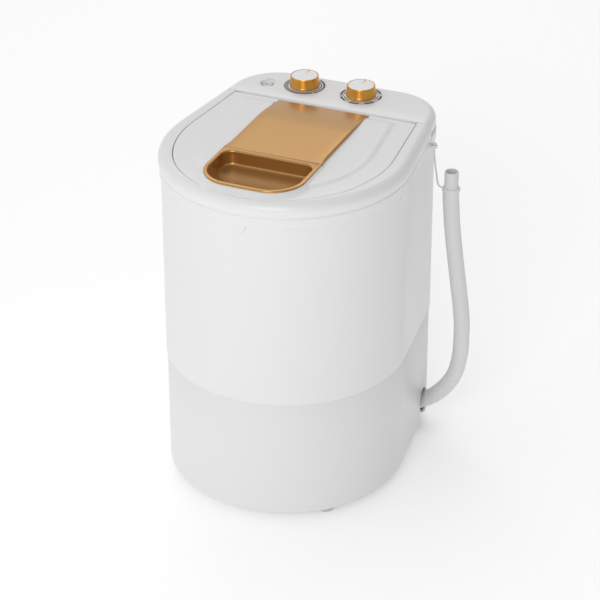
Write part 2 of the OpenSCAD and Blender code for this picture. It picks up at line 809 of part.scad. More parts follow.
module lid_strip() {
    color("goldenrod") translate([0.2 - strip_w / 2, 0, 0]) rotate([90, 0, 90])
        linear_extrude(strip_w - 0.4) polygon([for (p = strip_points(strip_t - 0.2))
            [min(p[0], hinge_y - 0.4), p[1]]]);
}

module lid_handle() {
    rim_t = 3;
    low = crown_z - pocket_depth - pocket_wall;
    color("goldenrod") difference() {
        union() {
            translate([0, 0, crown_z - rim_t]) linear_extrude(rim_t) handle_outline(0.3);
            translate([0, 0, low]) linear_extrude(crown_z - low)
                handle_outline(handle_rim_w - pocket_wall, lip_run);
        }
        translate([0, 0, low + pocket_wall]) linear_extrude(60)
            handle_outline(handle_rim_w, lip_run);
    }
}

module hinge_pins() {
    color("silver") for (s = [-1, 1])
        translate([s * (hinge_pin_x + hinge_pin_l / 2), hinge_y, hinge_z])
            rotate([0, 90, 0]) cylinder(r = hinge_pin_r, h = hinge_pin_l, center = true);
}

// ---------- pulsator and drive ----------

module pulsator() {
    color("lightsteelblue") translate([0, arc_y, disc_z]) difference() {
        union() {
            cylinder(r = pulsator_r, h = 5);
            cylinder(r1 = 34, r2 = 22, h = pulsator_rib_h + 8);
            on_circle(0, 4) translate([10, -5, 0]) cube([pulsator_r - 20, 10, pulsator_rib_h]);
        }
        translate([0, 0, -1]) cylinder(r = shaft_r + run_clear, h = 16);
        translate([0, 0, -1]) cylinder(r = screw_r + 1.1, h = 60);
        translate([0, 0, pulsator_rib_h + 2]) cylinder(r = 9, h = 20);
    }
}

module pulsator_screw() {
    color("silver") translate([0, arc_y, disc_z]) {
        translate([0, 0, 5]) cylinder(r = screw_r + 1, h = pulsator_rib_h - 2);
        translate([0, 0, pulsator_rib_h + 2]) cylinder(r = 7, h = 4);
    }
}

module drive_shaft() {
    low = belt_z - pulley_h / 2 - 8;
    color("silver") translate([0, arc_y, low]) difference() {
        cylinder(r = shaft_r, h = disc_z + 15 - low);
        translate([0, 0, disc_z + 4 - low]) cylinder(r = screw_r + 1, h = 20);
    }
}

module bush(z) {
    color("darkgoldenrod") translate([0, arc_y, z]) tube(bush_r, shaft_r + run_clear, bush_h);
}

module upper_bush() { bush(tub_floor_z - 22); }
module lower_bush() { bush(housing_low_z + 2); }

module shaft_seal() {
    color("dimgray") translate([0, arc_y, housing_top_z - 7])
        tube(bush_r, shaft_r + run_clear, 6);
}

module bearing_housing() {
    top = tub_floor_z - tub_wall;
    color("silver") translate([0, arc_y, 0]) difference() {
        union() {
            translate([0, 0, housing_low_z]) cylinder(r = nose_r, h = housing_top_z - housing_low_z);
            translate([0, 0, top - 5]) cylinder(r = housing_bolt_r + 8, h = 5);
        }
        translate([0, 0, housing_low_z - 1]) cylinder(r = bush_r, h = 90);
        translate([0, 0, top - 10]) on_circle(housing_bolt_r, 4, 45)
            cylinder(r = screw_r + 0.1, h = 20);
    }
}

module housing_bolts() {
    color("silver") translate([0, arc_y, tub_floor_z - tub_wall - 5 - screw_r])
        on_circle(housing_bolt_r, 4, 45) screw(screw_r, 5 + tub_wall + screw_r);
}

// Pulley with a round-bottomed groove
module pulley(r, bore, z, y) {
    h = pulley_h;
    translate([0, y, z - h / 2]) difference() {
        cylinder(r = r, h = h);
        rotate_extrude() translate([r, h / 2])
            polygon([[1, -4.2], [1, 4.2], [-belt_t, 2.6], [-belt_t, -2.6]]);
        translate([0, 0, -1]) cylinder(r = bore, h = h + 2);
    }
}

module driven_pulley() {
    color("gray") difference() {
        pulley(driven_pulley_r, shaft_r + run_clear, belt_z, arc_y);
        translate([0, arc_y, belt_z - 20]) on_circle(driven_pulley_r * 0.56, 5)
            cylinder(r = driven_pulley_r * 0.2, h = 40);
    }
}

module motor_pulley() {
    color("gray") pulley(motor_pulley_r, motor_shaft_r + run_clear, belt_z, motor_y);
}

module pulley_nut() {
    color("silver") translate([0, arc_y, belt_z - pulley_h / 2 - 5]) difference() {
        cylinder(r = shaft_r + 4, h = 5, $fn = 6);
        translate([0, 0, -1]) cylinder(r = shaft_r + run_clear, h = 8);
    }
}

// Closed loop of round-cornered belt, clear of both grooves
module drive_belt() {
    gap = 0.4;
    color("dimgray") translate([0, 0, belt_z - 2]) linear_extrude(4) difference() {
        belt_outline(gap + 0.3 - belt_t + 4.6);
        belt_outline(gap - belt_t + 0.6);
    }
}

// Outline of the belt as a convex loop round both pulleys, grown by off
module belt_outline(off) {
    hull() {
        translate([0, arc_y]) circle(driven_pulley_r + off, $fn = 64);
        translate([0, motor_y]) circle(motor_pulley_r + off, $fn = 48);
    }
}

// Bridge that stands on the floor plate and carries the motor from above
module motor_bracket() {
    w = bracket_w;
    l = bracket_l;
    h = motor_top_z - plate_z;
    color("lightgray") translate([0, motor_y - 34, plate_z]) difference() {
        union() {
            translate([-w / 2, 0, h]) cube([w, l, bracket_t]);
            for (s = [0, 1]) mirror([s, 0, 0]) {
                translate([w / 2 - bracket_t, 0, 0]) cube([bracket_t, l, h + 1]);
                translate([w / 2 - 16, 0, 0]) cube([15, l, bracket_t]);
            }
        }
        translate([0, 34, h - 1]) cylinder(r = 12, h = 6);
        translate([0, 34, h - 1]) on_circle(motor_bolt_r, 4, 45)
            cylinder(r = screw_r + 0.1, h = 6);
    }
}

module motor() {
    low = motor_top_z - motor_h;
    color("silver") translate([0, motor_y, low]) difference() {
        union() {
            cylinder(r = motor_r, h = motor_h);
            translate([0, 0, -5]) cylinder(r = 16, h = 6);
        }
        translate([0, 0, -6]) cylinder(r = motor_shaft_r + run_clear, h = motor_h);
        translate([0, 0, motor_h - 12]) on_circle(motor_bolt_r, 4, 45)
            cylinder(r = screw_r, h = 20);
    }
}

module motor_bolts() {
    color("silver") translate([0, motor_y, motor_top_z + bracket_t + screw_r])
        on_circle(motor_bolt_r, 4, 45) mirror([0, 0, 1]) screw(screw_r, 14);
}

module motor_shaft() {
    low = belt_z - pulley_h / 2 - 3;
    top = motor_top_z - 10;
    color("silver") translate([0, motor_y, low]) cylinder(r = motor_shaft_r, h = top - low);
}

module capacitor() {
    color("white") translate([capacitor_at[0], capacitor_at[1], plate_z])
        cylinder(r = capacitor_r, h = 72);
}

module capacitor_clip() {
    color("silver") translate([capacitor_at[0], capacitor_at[1], plate_z]) {
        translate([0, 0, 30]) tube(capacitor_r + 1.8, capacitor_r + 0.1, 14);
        translate([capacitor_r + 1.2, -7, 0]) cube([2.5, 14, 44]);
        translate([capacitor_r + 1.2, -7, 0]) cube([9, 14, 2]);
    }
}

// ---------- drain, cord outlet ----------

// Direction in which the hose starts
function hose_start() = unit(hose_route[1] - hose_route[0]);

// Run of the drain pipe: down from the tub, back past the motor and out to the hose
module drain_run(r, more) {
    turn = hose_route[0] - 16 * hose_start();
    foot = [drain_at[0], drain_at[1], turn[2]];
    pipe_between(foot, [foot[0], foot[1], tub_floor_z - tub_wall + more], r);
    translate(foot) pipe_corner(r + 0.5);
    pipe_between(foot, turn, r);
    translate(turn) pipe_corner(r + 0.5);
    pipe_between(turn, hose_route[0] + more * hose_start(), r);
}

// Drain pipe, with the flange that seals it to the tub's floor
module drain_elbow() {
    color("lightgray") difference() {
        union() {
            drain_run(drain_bore_r + 2.5, 0);
            translate([drain_at[0], drain_at[1], tub_floor_z - tub_wall - 3])
                cylinder(r = drain_bore_r + 8, h = 3);
        }
        drain_run(drain_bore_r, 1);
    }
}

// Drum that joins two pipes at a corner
module pipe_corner(r) {
    translate([0, 0, -r]) cylinder(r = r, h = 2 * r);
}

// Straight round bar between two points
module pipe_between(p, q, r) {
    d = q - p;
    translate(p) rotate([0, acos(d[2] / norm(d)), atan2(d[1], d[0])])
        cylinder(r = r, h = norm(d));
}

// Band that grips the hose's start
module drain_clamp() {
    d = hose_start();
    color("silver") translate(hose_route[0] + 3 * d)
        rotate([0, acos(d[2]), atan2(d[1], d[0])])
            tube(hose_d / 2 + 1.6, hose_d / 2 + 0.1, 8);
}

module cord_gland() {
    back = cabinet_d / 2 - base_inset;
    color("dimgray") translate([-gland_x, back, gland_z]) rotate([90, 0, 0]) difference() {
        union() {
            translate([0, 0, -3]) cylinder(r = gland_neck_r + 4, h = 3);
            cylinder(r = gland_neck_r, h = 14);
        }
        translate([0, 0, -4]) cylinder(r = cord_bore_r, h = 20);
    }
}

// Unit vector along v
function unit(v) = v / norm(v);

// Direction of a route at its point i
function heading(p, i) = unit(p[min(i + 1, len(p) - 1)] - p[max(i - 1, 0)]);

// Ring of points round point i of a route, square to the route
function ring_points(p, i, r, n) = let (d = heading(p, i), s = unit(cross(d, [0.4, -0.9, 0.1])),
    u = cross(s, d)) [for (k = [0:n - 1]) p[i] + r * (cos(360 * k / n) * s
    + sin(360 * k / n) * u)];

// Round bar of radius r swept along a route
module swept_bar(p, r, n) {
    m = len(p);
    points = [for (i = [0:m - 1]) each ring_points(p, i, r, n)];
    sides = [for (i = [0:m - 2], k = [0:n - 1])
        [i * n + k, i * n + (k + 1) % n, (i + 1) * n + (k + 1) % n, (i + 1) * n + k]];
    polyhedron(points, concat([[for (k = [n - 1:-1:0]) k]], sides,
        [[for (k = [0:n - 1]) (m - 1) * n + k]]), convexity = 6);
}

module drain_hose() {
    color("whitesmoke") swept_bar(hose_route, hose_d / 2, hose_sides);
}

module hose_cuff() {
    color("white") translate(hose_end) {
        cylinder(r = hose_d / 2 + 1, h = collar_h);
        cylinder(r = cuff_r, h = collar_h + cuff_l);
    }
}

// Strap that holds the hose's end to the lug, with a toggle above the lug
module hose_strap() {
    color("white") {
        swept_bar(strap_route, strap_r, 8);
        translate([strap_x, lug_y, lug_low_z + 5.2]) cylinder(r = 3.4, h = 3);
    }
}

base_casing();
floor_plate();
feet();
floor_screws();
barrel();
top_ring();
ring_screws();
wash_tub();
lint_filter();
control_panel();
panel_screws();
water_inlet();
fill_pipe();
timer_unit();
timer_shaft();
timer_knob();
timer_knob_cap();
selector_switch();
selector_shaft();
selector_knob();
selector_knob_cap();
lid();
lid_strip();
lid_handle();
hinge_pins();
pulsator();
pulsator_screw();
drive_shaft();
upper_bush();
lower_bush();
shaft_seal();
bearing_housing();
housing_bolts();
driven_pulley();
pulley_nut();
drive_belt();
motor_bracket();
motor();
motor_bolts();
motor_shaft();
motor_pulley();
capacitor();
capacitor_clip();
drain_elbow();
drain_clamp();
cord_gland();
drain_hose();
hose_cuff();
hose_strap();
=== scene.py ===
"""Looks of a compact top-load washing machine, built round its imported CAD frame."""

import logging
import math
from dataclasses import dataclass
from enum import Enum
from typing import Callable, List, Sequence, Tuple

import bmesh
import bpy
from mathutils import Matrix, Vector


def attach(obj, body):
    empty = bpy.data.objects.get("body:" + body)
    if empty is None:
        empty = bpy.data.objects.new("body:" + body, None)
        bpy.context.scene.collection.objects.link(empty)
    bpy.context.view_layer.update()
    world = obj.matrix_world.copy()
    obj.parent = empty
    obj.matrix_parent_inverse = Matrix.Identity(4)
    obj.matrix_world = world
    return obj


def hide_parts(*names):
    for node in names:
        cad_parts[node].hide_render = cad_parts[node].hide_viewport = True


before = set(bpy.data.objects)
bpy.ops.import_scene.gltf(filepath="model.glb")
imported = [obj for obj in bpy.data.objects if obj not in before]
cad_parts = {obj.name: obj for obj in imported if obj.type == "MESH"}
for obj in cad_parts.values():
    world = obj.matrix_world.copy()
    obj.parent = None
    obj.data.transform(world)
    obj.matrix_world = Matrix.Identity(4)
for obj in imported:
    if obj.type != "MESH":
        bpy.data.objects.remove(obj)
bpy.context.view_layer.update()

log = logging.getLogger("washer")
MM = 0.001
Ring = List[Tuple[float, float, float]]
Profile = List[Tuple[float, float]]

# Cabinet plan and levels, in millimetres, the same values as the part's
FRONT_R, ARC_Y = 180.0, -30.0
CORNER_R, CORNER_X, CORNER_Y = 75.0, 85.0, 135.0
SIDE_DEG = math.degrees(
    math.atan2(CORNER_Y - ARC_Y, CORNER_X)
    - math.acos((FRONT_R - CORNER_R) / math.hypot(CORNER_X, CORNER_Y - ARC_Y))
)
GROUND, SEAM_Z, RING_Z, CREASE_Z, RIM_Z = 12.0, 202.0, 487.0, 503.0, 527.0
LEDGE_Z, CROWN_Z, PANEL_Z = 518.0, 535.0, 528.0
HINGE_Y, HINGE_Z, PANEL_Y = 109.0, 522.5, 114.7
LID_R, LID_LENS, LID_NOSE_R, LID_NOSE_Y, LID_TAPER = 200.0, 42.0, 154.5, -47.5, 6.0
LID_JOIN = math.degrees(math.atan2(ARC_Y - LID_NOSE_Y, LID_LENS))
DIAL_Y, TIMER_X, SELECTOR_X = 168.0, -56.0, 35.0
INLET = (-111.0, 155.0)
HOSE_ROUTE = [
    (100, 131, 34), (121, 131, 36), (141, 130, 41), (160, 130, 50), (177, 129, 62),
    (191, 128, 77), (203, 127, 94), (212, 126, 113), (217, 125, 133), (220, 124, 154),
    (221, 123, 176), (221, 123, 200), (219, 122, 228), (215, 121, 262), (210, 120, 300),
    (205, 120, 338), (201, 120, 372), (199, 120, 400), (198, 120, 412), (198, 120, 424),
]
STRAP_ROUTE = [
    (170, 120, 496), (170, 120, 487), (171, 120, 472), (173, 120, 456), (175, 120, 444),
    (176, 120, 436), (178, 120, 430), (181, 120, 427.5), (184.5, 120, 427),
]


class Detail(Enum):
    """How the surface of a finish is textured."""

    SMOOTH = "smooth"
    GRAIN = "grain"
    BRUSHED = "brushed"


@dataclass(frozen=True)
class Finish:
    """One surface finish.

    Args:
        name: material name.
        color: linear base colour.
        rough: base roughness.
        metal: metallic amount.
        coat: clear coat weight.
        detail: kind of fine relief.
        scale: scale of the relief in cycles per metre.
        relief: strength of the relief.
        slot: material slot of the record; not used.
    """

    name: str
    color: Tuple[float, float, float]
    rough: float
    slot: str
    metal: float = 0.0
    coat: float = 0.0
    detail: Detail = Detail.SMOOTH
    scale: float = 900.0
    relief: float = 0.02


WHITE = Finish("white_gloss", (0.78, 0.78, 0.78), 0.33, "casing_white", coat=0.06)
BASE_WHITE = Finish("white_satin", (0.75, 0.75, 0.75), 0.36, "casing_white", coat=0.1)
GOLD = Finish("gold_satin", (0.50, 0.27, 0.085), 0.3, "gold", metal=0.8, coat=0.1)
GOLD_KNOB = Finish("gold_knob", (0.66, 0.32, 0.05), 0.3, "gold", metal=0.75, coat=0.1,
                   detail=Detail.BRUSHED)
# Pocket-floor gold: rougher and grained, and darker in colour as painted shade for the floor
# down in the handle's pocket.
GOLD_MATT_AND_SHADE = Finish("gold_matt_and_shade", (0.36, 0.19, 0.065), 0.45, "gold", metal=0.6,
                   detail=Detail.GRAIN, relief=0.12)
CAP = Finish("cap_white", (0.86, 0.86, 0.87), 0.2, "knob_white", coat=0.3)
TUB = Finish("tub", (0.76, 0.78, 0.80), 0.3, "tub_plastic")
PULSATOR = Finish("pulsator", (0.35, 0.52, 0.68), 0.35, "pulsator_plastic")
INNER = Finish("inner", (0.45, 0.46, 0.47), 0.55, "inner_plastic", detail=Detail.GRAIN)
DARK = Finish("dark", (0.02, 0.02, 0.022), 0.5, "dark_plastic", detail=Detail.GRAIN)
FOOT = Finish("foot", (0.55, 0.56, 0.57), 0.5, "foot_plastic", detail=Detail.GRAIN)
HOSE = Finish("hose", (0.70, 0.70, 0.695), 0.42, "hose_plastic", detail=Detail.GRAIN)
ZINC = Finish("zinc", (0.50, 0.50, 0.51), 0.4, "zinc_steel", metal=1.0,
              detail=Detail.GRAIN)
STEEL = Finish("steel", (0.46, 0.46, 0.47), 0.28, "shaft_steel", metal=1.0,
               detail=Detail.BRUSHED)
BRONZE = Finish("bronze", (0.38, 0.25, 0.11), 0.4, "bronze", metal=1.0,
                detail=Detail.GRAIN)
CAST = Finish("cast", (0.42, 0.43, 0.44), 0.45, "cast_alloy", metal=1.0,
              detail=Detail.GRAIN, relief=0.25)
MOTOR = Finish("motor", (0.10, 0.105, 0.11), 0.4, "motor_paint", detail=Detail.GRAIN)
RUBBER = Finish("rubber", (0.015, 0.015, 0.015), 0.65, "belt_rubber",
                detail=Detail.GRAIN)
SEAL = Finish("seal", (0.02, 0.02, 0.02), 0.6, "seal_rubber", detail=Detail.GRAIN)
INK = Finish("ink", (0.02, 0.02, 0.022), 0.35, "dark_plastic")
INK_GREY = Finish("ink_grey", (0.22, 0.225, 0.23), 0.35, "inner_plastic")


class Paint:
    """Makes and keeps the procedural materials."""

    def __init__(self) -> None:
        """Starts with no materials and the shared group."""
        self._made: dict = {}
        self._group = self._surface_group()

    @staticmethod
    def _surface_group() -> bpy.types.NodeTree:
        """Shared group: smudges for the roughness, fine relief for the normal.

        Returns:
            The node group.
        """
        tree = bpy.data.node_groups.new("SurfaceDetail", "ShaderNodeTree")
        face = tree.interface
        for name, value in (("Scale", 900.0), ("Relief", 0.05), ("Stretch", 1.0)):
            sock = face.new_socket(name=name, in_out="INPUT", socket_type="NodeSocketFloat")
            sock.default_value = value
        face.new_socket(name="Smudge", in_out="OUTPUT", socket_type="NodeSocketFloat")
        face.new_socket(name="Normal", in_out="OUTPUT", socket_type="NodeSocketVector")
        nodes, links = tree.nodes, tree.links
        gin, gout = nodes.new("NodeGroupInput"), nodes.new("NodeGroupOutput")
        coord = nodes.new("ShaderNodeTexCoord")
        stretch = nodes.new("ShaderNodeCombineXYZ")
        stretch.inputs[0].default_value = stretch.inputs[1].default_value = 1.0
        links.new(gin.outputs["Stretch"], stretch.inputs[2])
        mult = nodes.new("ShaderNodeVectorMath")
        mult.operation = "MULTIPLY"
        links.new(coord.outputs["Object"], mult.inputs[0])
        links.new(stretch.outputs[0], mult.inputs[1])
        fine = nodes.new("ShaderNodeTexNoise")
        fine.inputs["Detail"].default_value = 3.0
        links.new(mult.outputs[0], fine.inputs["Vector"])
        links.new(gin.outputs["Scale"], fine.inputs["Scale"])
        bump = nodes.new("ShaderNodeBump")
        bump.inputs["Distance"].default_value = 0.00004
        links.new(gin.outputs["Relief"], bump.inputs["Strength"])
        links.new(fine.outputs["Fac"], bump.inputs["Height"])
        broad = nodes.new("ShaderNodeTexNoise")
        broad.inputs["Scale"].default_value = 14.0
        broad.inputs["Detail"].default_value = 4.0
        links.new(coord.outputs["Object"], broad.inputs["Vector"])
        ramp = nodes.new("ShaderNodeMapRange")
        ramp.inputs["From Min"].default_value = 0.35
        ramp.inputs["From Max"].default_value = 0.7
        links.new(broad.outputs["Fac"], ramp.inputs["Value"])
        links.new(ramp.outputs["Result"], gout.inputs["Smudge"])
        links.new(bump.outputs["Normal"], gout.inputs["Normal"])
        return tree

    def get(self, finish: Finish) -> bpy.types.Material:
        """Material for a finish.

        Args:
            finish: the finish.

        Returns:
            The material, made once.
        """
        if finish.name in self._made:
            return self._made[finish.name]
        mat = bpy.data.materials.new(finish.name)
        mat.use_nodes = True
        nodes, links = mat.node_tree.nodes, mat.node_tree.links
        bsdf = nodes["Principled BSDF"]
        bsdf.inputs["Base Color"].default_value = (*finish.color, 1.0)
        bsdf.inputs["Metallic"].default_value = finish.metal
        bsdf.inputs["Coat Weight"].default_value = finish.coat
        bsdf.inputs["Coat Roughness"].default_value = 0.12
        group = nodes.new("ShaderNodeGroup")
        group.node_tree = self._group
        group.inputs["Scale"].default_value = finish.scale
        group.inputs["Relief"].default_value = finish.relief * (
            1.0 if finish.detail is Detail.SMOOTH else 3.0)
        group.inputs["Stretch"].default_value = (
            0.02 if finish.detail is Detail.BRUSHED else 1.0)
        rough = nodes.new("ShaderNodeMapRange")
        rough.inputs["To Min"].default_value = finish.rough * 0.97
        rough.inputs["To Max"].default_value = finish.rough * 1.05
        links.new(group.outputs["Smudge"], rough.inputs["Value"])
        links.new(rough.outputs["Result"], bsdf.inputs["Roughness"])
        links.new(group.outputs["Normal"], bsdf.inputs["Normal"])
        self._made[finish.name] = mat
        return mat


PAINT = Paint()


# ---------- outlines ----------


def arc(cx: float, cy: float, r: float, start: float, end: float, n: int) -> Profile:
    """Points of an arc, both ends included.

    Args:
        cx: centre x. cy: centre y. r: radius.
        start: first angle in degrees. end: last angle. n: number of steps.

    Returns:
        The points.
    """
    return [(cx + r * math.cos(math.radians(start + (end - start) * i / n)),
             cy + r * math.sin(math.radians(start + (end - start) * i / n)))
            for i in range(n + 1)]


def between(a: Tuple[float, float], b: Tuple[float, float], n: int) -> Profile:
    """Inner points of a straight run.

    Args:
        a: start. b: end. n: number of steps.

    Returns:
        The points between the ends, neither included.
    """
    return [(a[0] + (b[0] - a[0]) * i / n, a[1] + (b[1] - a[1]) * i / n)
            for i in range(1, n)]


def at_height(points: Profile, z: float) -> Ring:
    """Lifts a flat outline to a height.

    Args:
        points: outline. z: height.

    Returns:
        The ring.
    """
    return [(x, y, z) for x, y in points]


def plan(off: float) -> Profile:
    """Cabinet outline grown by off.

    Args:
        off: growth in millimetres.

    Returns:
        The closed outline, counter-clockwise.
    """
    a = SIDE_DEG
    front = arc(0, ARC_Y, FRONT_R + off, 180 - a, 360 + a, 132)
    right = arc(CORNER_X, CORNER_Y, CORNER_R + off, a, 90, 26)
    left = arc(-CORNER_X, CORNER_Y, CORNER_R + off, 90, 180 - a, 26)
    return (front + between(front[-1], right[0], 5) + right
            + between(right[-1], left[0], 5) + left + between(left[-1], front[0], 5))


def lid_outline(off: float, back_y: float = HINGE_Y) -> Profile:
    """Lid outline grown by off, straight at back_y.

    Args:
        off: growth. back_y: where the straight rear edge lies.

    Returns:
        The closed outline, counter-clockwise.
    """
    j, t = LID_JOIN, LID_TAPER
    nose = arc(0, LID_NOSE_Y, LID_NOSE_R + off, 180 + j, 360 - j, 80)
    right = arc(-LID_LENS, ARC_Y, LID_R + off, -j, t, 18)[1:]
    back_x = right[-1][0] - (back_y - right[-1][1]) * math.tan(math.radians(t))
    left = [(-x, y) for x, y in reversed(right)]
    return (nose + right + between(right[-1], (back_x, back_y), 8)
            + [(back_x, back_y)] + between((back_x, back_y), (-back_x, back_y), 30)
            + [(-back_x, back_y)] + between((-back_x, back_y), left[0], 8) + left)


def rounded_box(w: float, front: float, back: float, rf: float, rb: float,
                bow: float = 0.0) -> Profile:
    """Rectangle with different front and back corner radii.

    Args:
        w: half-width. front: front y. back: back y.
        rf: front corner radius. rb: back corner radius.
        bow: how far the front edge bulges forward at its middle.

    Returns:
        The closed outline, counter-clockwise.
    """
    pts = (arc(-w + rf, front + rf, rf, 180, 270, 16)
           + between((-w + rf, front), (w - rf, front), 16)
           + arc(w - rf, front + rf, rf, 270, 360, 16)
           + between((w, front + rf), (w, back - rb), 6)
           + arc(w - rb, back - rb, rb, 0, 90, 10)
           + between((w - rb, back), (-w + rb, back), 16)
           + arc(-w + rb, back - rb, rb, 90, 180, 10)
           + between((-w, back - rb), (-w, front + rf), 6))
    return [(x, y - bow * max(0.0, 1 - (x / w) ** 2) * max(0.0, (back - y) / (back - front)))
            for x, y in pts]


# ---------- mesh building ----------


class Solid:
    """A mesh being built, in millimetres, turned into a piece at the end."""

    def __init__(self) -> None:
        """Starts with an empty mesh."""
        self.bm = bmesh.new()

    def first_ring(self, ring: Ring, closed: bool) -> list:
        """Adds a ring of vertices joined by edges.

        Args:
            ring: the points. closed: whether the last joins the first.

        Returns:
            The vertices.
        """
        verts = [self.bm.verts.new(Vector(p) * MM) for p in ring]
        for a, b in zip(verts, verts[1:] + verts[:1] if closed else verts[1:]):
            self.bm.edges.new((a, b))
        return verts

    def loft(self, rings: Sequence[Ring], closed: bool = True, cap_start: bool = False,
             cap_end: bool = False, join: bool = False) -> "Solid":
        """Skins a row of rings by extruding the first and placing each copy.

        Args:
            rings: rings of equal length. closed: whether a ring closes on itself.
            cap_start: fills the first ring. cap_end: fills the last ring.
            join: welds the last ring to the first.

        Returns:
            Itself.
        """
        verts = self.first_ring(rings[0], closed)
        start = list(verts)
        for ring in rings[1:]:
            edges = [self.bm.edges.get((a, b)) for a, b in
                     zip(verts, verts[1:] + verts[:1] if closed else verts[1:])]
            made = bmesh.ops.extrude_edge_only(self.bm, edges=edges)["geom"]
            fresh = {v for v in made if isinstance(v, bmesh.types.BMVert)}
            step = []
            for v in verts:
                twin = next(e.other_vert(v) for e in v.link_edges
                            if e.other_vert(v) in fresh)
                step.append(twin)
            for v, p in zip(step, ring):
                v.co = Vector(p) * MM
            verts = step
        for wanted, loop in ((cap_start, start), (cap_end, verts)):
            if wanted:
                bmesh.ops.contextual_create(
                    self.bm, geom=[self.bm.edges.get((a, b))
                                   for a, b in zip(loop, loop[1:] + loop[:1])])
        if join:
            bmesh.ops.remove_doubles(self.bm, verts=self.bm.verts[:], dist=1e-7)
        return self

    def lathe(self, profile: Profile, x: float, y: float, steps: int = 64,
              axis: Tuple[float, float, float] = (0, 0, 1), z: float = 0.0) -> "Solid":
        """Spins a profile of (radius, height) about an upright axis.

        Args:
            profile: the profile. x: axis x. y: axis y.
            steps: segments round. axis: the axis' direction. z: the base height.

        Returns:
            Itself.
        """
        part = bmesh.new()
        verts = [part.verts.new((r * MM, 0, h * MM)) for r, h in profile]
        edges = [part.edges.new(p) for p in zip(verts, verts[1:])]
        bmesh.ops.spin(part, geom=verts + edges, cent=(0, 0, 0), axis=(0, 0, 1),
                       angle=2 * math.pi, steps=steps, use_merge=True)
        bmesh.ops.remove_doubles(part, verts=part.verts[:], dist=1e-7)
        turn = Vector((0, 0, 1)).rotation_difference(Vector(axis)).to_matrix().to_4x4()
        move = Matrix.Translation(Vector((x, y, z)) * MM) @ turn
        bmesh.ops.transform(part, matrix=move, verts=part.verts[:])
        return self.take(part)

    def box(self, low: Tuple[float, float, float], high: Tuple[float, float, float],
            bevel: float = 0.0, turn: float = 0.0,
            about: Tuple[float, float] = (0.0, 0.0)) -> "Solid":
        """Adds a box with rounded edges, turned about an upright line.

        Args:
            low: lowest corner. high: highest corner. bevel: edge radius.
            turn: degrees. about: the line's x and y.

        Returns:
            Itself.
        """
        part = bmesh.new()
        bmesh.ops.create_cube(part, size=1.0)
        size = Vector(high) - Vector(low)
        mid = (Vector(high) + Vector(low)) / 2
        bmesh.ops.transform(part, verts=part.verts[:], matrix=Matrix.Translation(mid * MM)
                            @ Matrix.Diagonal((*(size * MM), 1.0)))
        if bevel:
            bmesh.ops.bevel(part, geom=part.edges[:], offset=bevel * MM, segments=2,
                            profile=0.5, affect="EDGES", material=-1)
        c = Vector((about[0], about[1], 0)) * MM
        bmesh.ops.rotate(part, cent=c, matrix=Matrix.Rotation(math.radians(turn), 3, "Z"),
                         verts=part.verts[:])
        return self.take(part)

    def take(self, part: bmesh.types.BMesh) -> "Solid":
        """Merges another bmesh in and frees it.

        Args:
            part: the other mesh.

        Returns:
            Itself.
        """
        bmesh.ops.recalc_face_normals(part, faces=part.faces[:])
        temp = bpy.data.meshes.new("temp")
        part.to_mesh(temp)
        part.free()
        self.bm.from_mesh(temp)
        bpy.data.meshes.remove(temp)
        return self

    def soften(self, test: Callable[[bmesh.types.BMEdge], bool], width: float,
               segments: int = 3) -> "Solid":
        """Bevels the sharp edges that pass a test.

        Args:
            test: picks edges. width: bevel width. segments: steps.

        Returns:
            Itself.
        """
        edges = [e for e in self.bm.edges if len(e.link_faces) == 2
                 and e.calc_face_angle(0) > math.radians(40) and test(e)]
        if edges:
            bmesh.ops.bevel(self.bm, geom=edges, offset=width * MM, segments=segments,
                            profile=0.5, affect="EDGES", material=-1, clamp_overlap=True)
        return self

    def object(self, name: str, smooth_deg: float = 35.0) -> bpy.types.Object:
        """Turns the mesh into an object with smooth shading between sharp edges.

        Args:
            name: piece name. smooth_deg: sharpest angle still shaded smooth.

        Returns:
            The object.
        """
        bmesh.ops.recalc_face_normals(self.bm, faces=self.bm.faces[:])
        for f in self.bm.faces:
            f.smooth = True
        for e in self.bm.edges:
            if len(e.link_faces) == 2:
                e.smooth = e.calc_face_angle(0) < math.radians(smooth_deg)
        mesh = bpy.data.meshes.new(name)
        self.bm.to_mesh(mesh)
        self.bm.free()
        obj = bpy.data.objects.new(name, mesh)
        bpy.context.scene.collection.objects.link(obj)
        return obj


def carve(solid: Solid, cutters: Sequence[Solid]) -> Solid:
    """Cuts solids out of another.

    Args:
        solid: what is cut. cutters: what is taken away.

    Returns:
        The result as a new solid.
    """
    target = solid.object("carve_target")
    for cutter in cutters:
        tool = cutter.object("carve_tool")
        mod = target.modifiers.new("cut", "BOOLEAN")
        mod.operation, mod.object, mod.solver = "DIFFERENCE", tool, "EXACT"
        dg = bpy.context.evaluated_depsgraph_get()
        fresh = bpy.data.meshes.new_from_object(target.evaluated_get(dg))
        target.modifiers.clear()
        target.data = fresh
        bpy.data.objects.remove(tool)
    out = Solid()
    out.bm.from_mesh(target.data)
    bpy.data.objects.remove(target)
    bmesh.ops.dissolve_degenerate(out.bm, edges=out.bm.edges[:], dist=1e-6)
    return out


def place(obj: bpy.types.Object, finish: Finish, body: str,
          replaces: Sequence[str] = ()) -> bpy.types.Object:
    """Finishes a piece: material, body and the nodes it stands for.

    Args:
        obj: the piece. finish: its finish. body: the CAD body it rides on.
        replaces: CAD nodes it stands for.

    Returns:
        The piece.
    """
    obj.data.materials.clear()
    obj.data.materials.append(PAINT.get(finish))
    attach(obj, body)
    if replaces:
        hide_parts(*replaces)
    return obj


def prism(outline: Profile, low: float, high: float) -> Solid:
    """Closed upright prism.

    Args:
        outline: closed outline. low: bottom. high: top.

    Returns:
        The solid.
    """
    return Solid().loft([at_height(outline, low), at_height(outline, high)],
                        cap_start=True, cap_end=True)


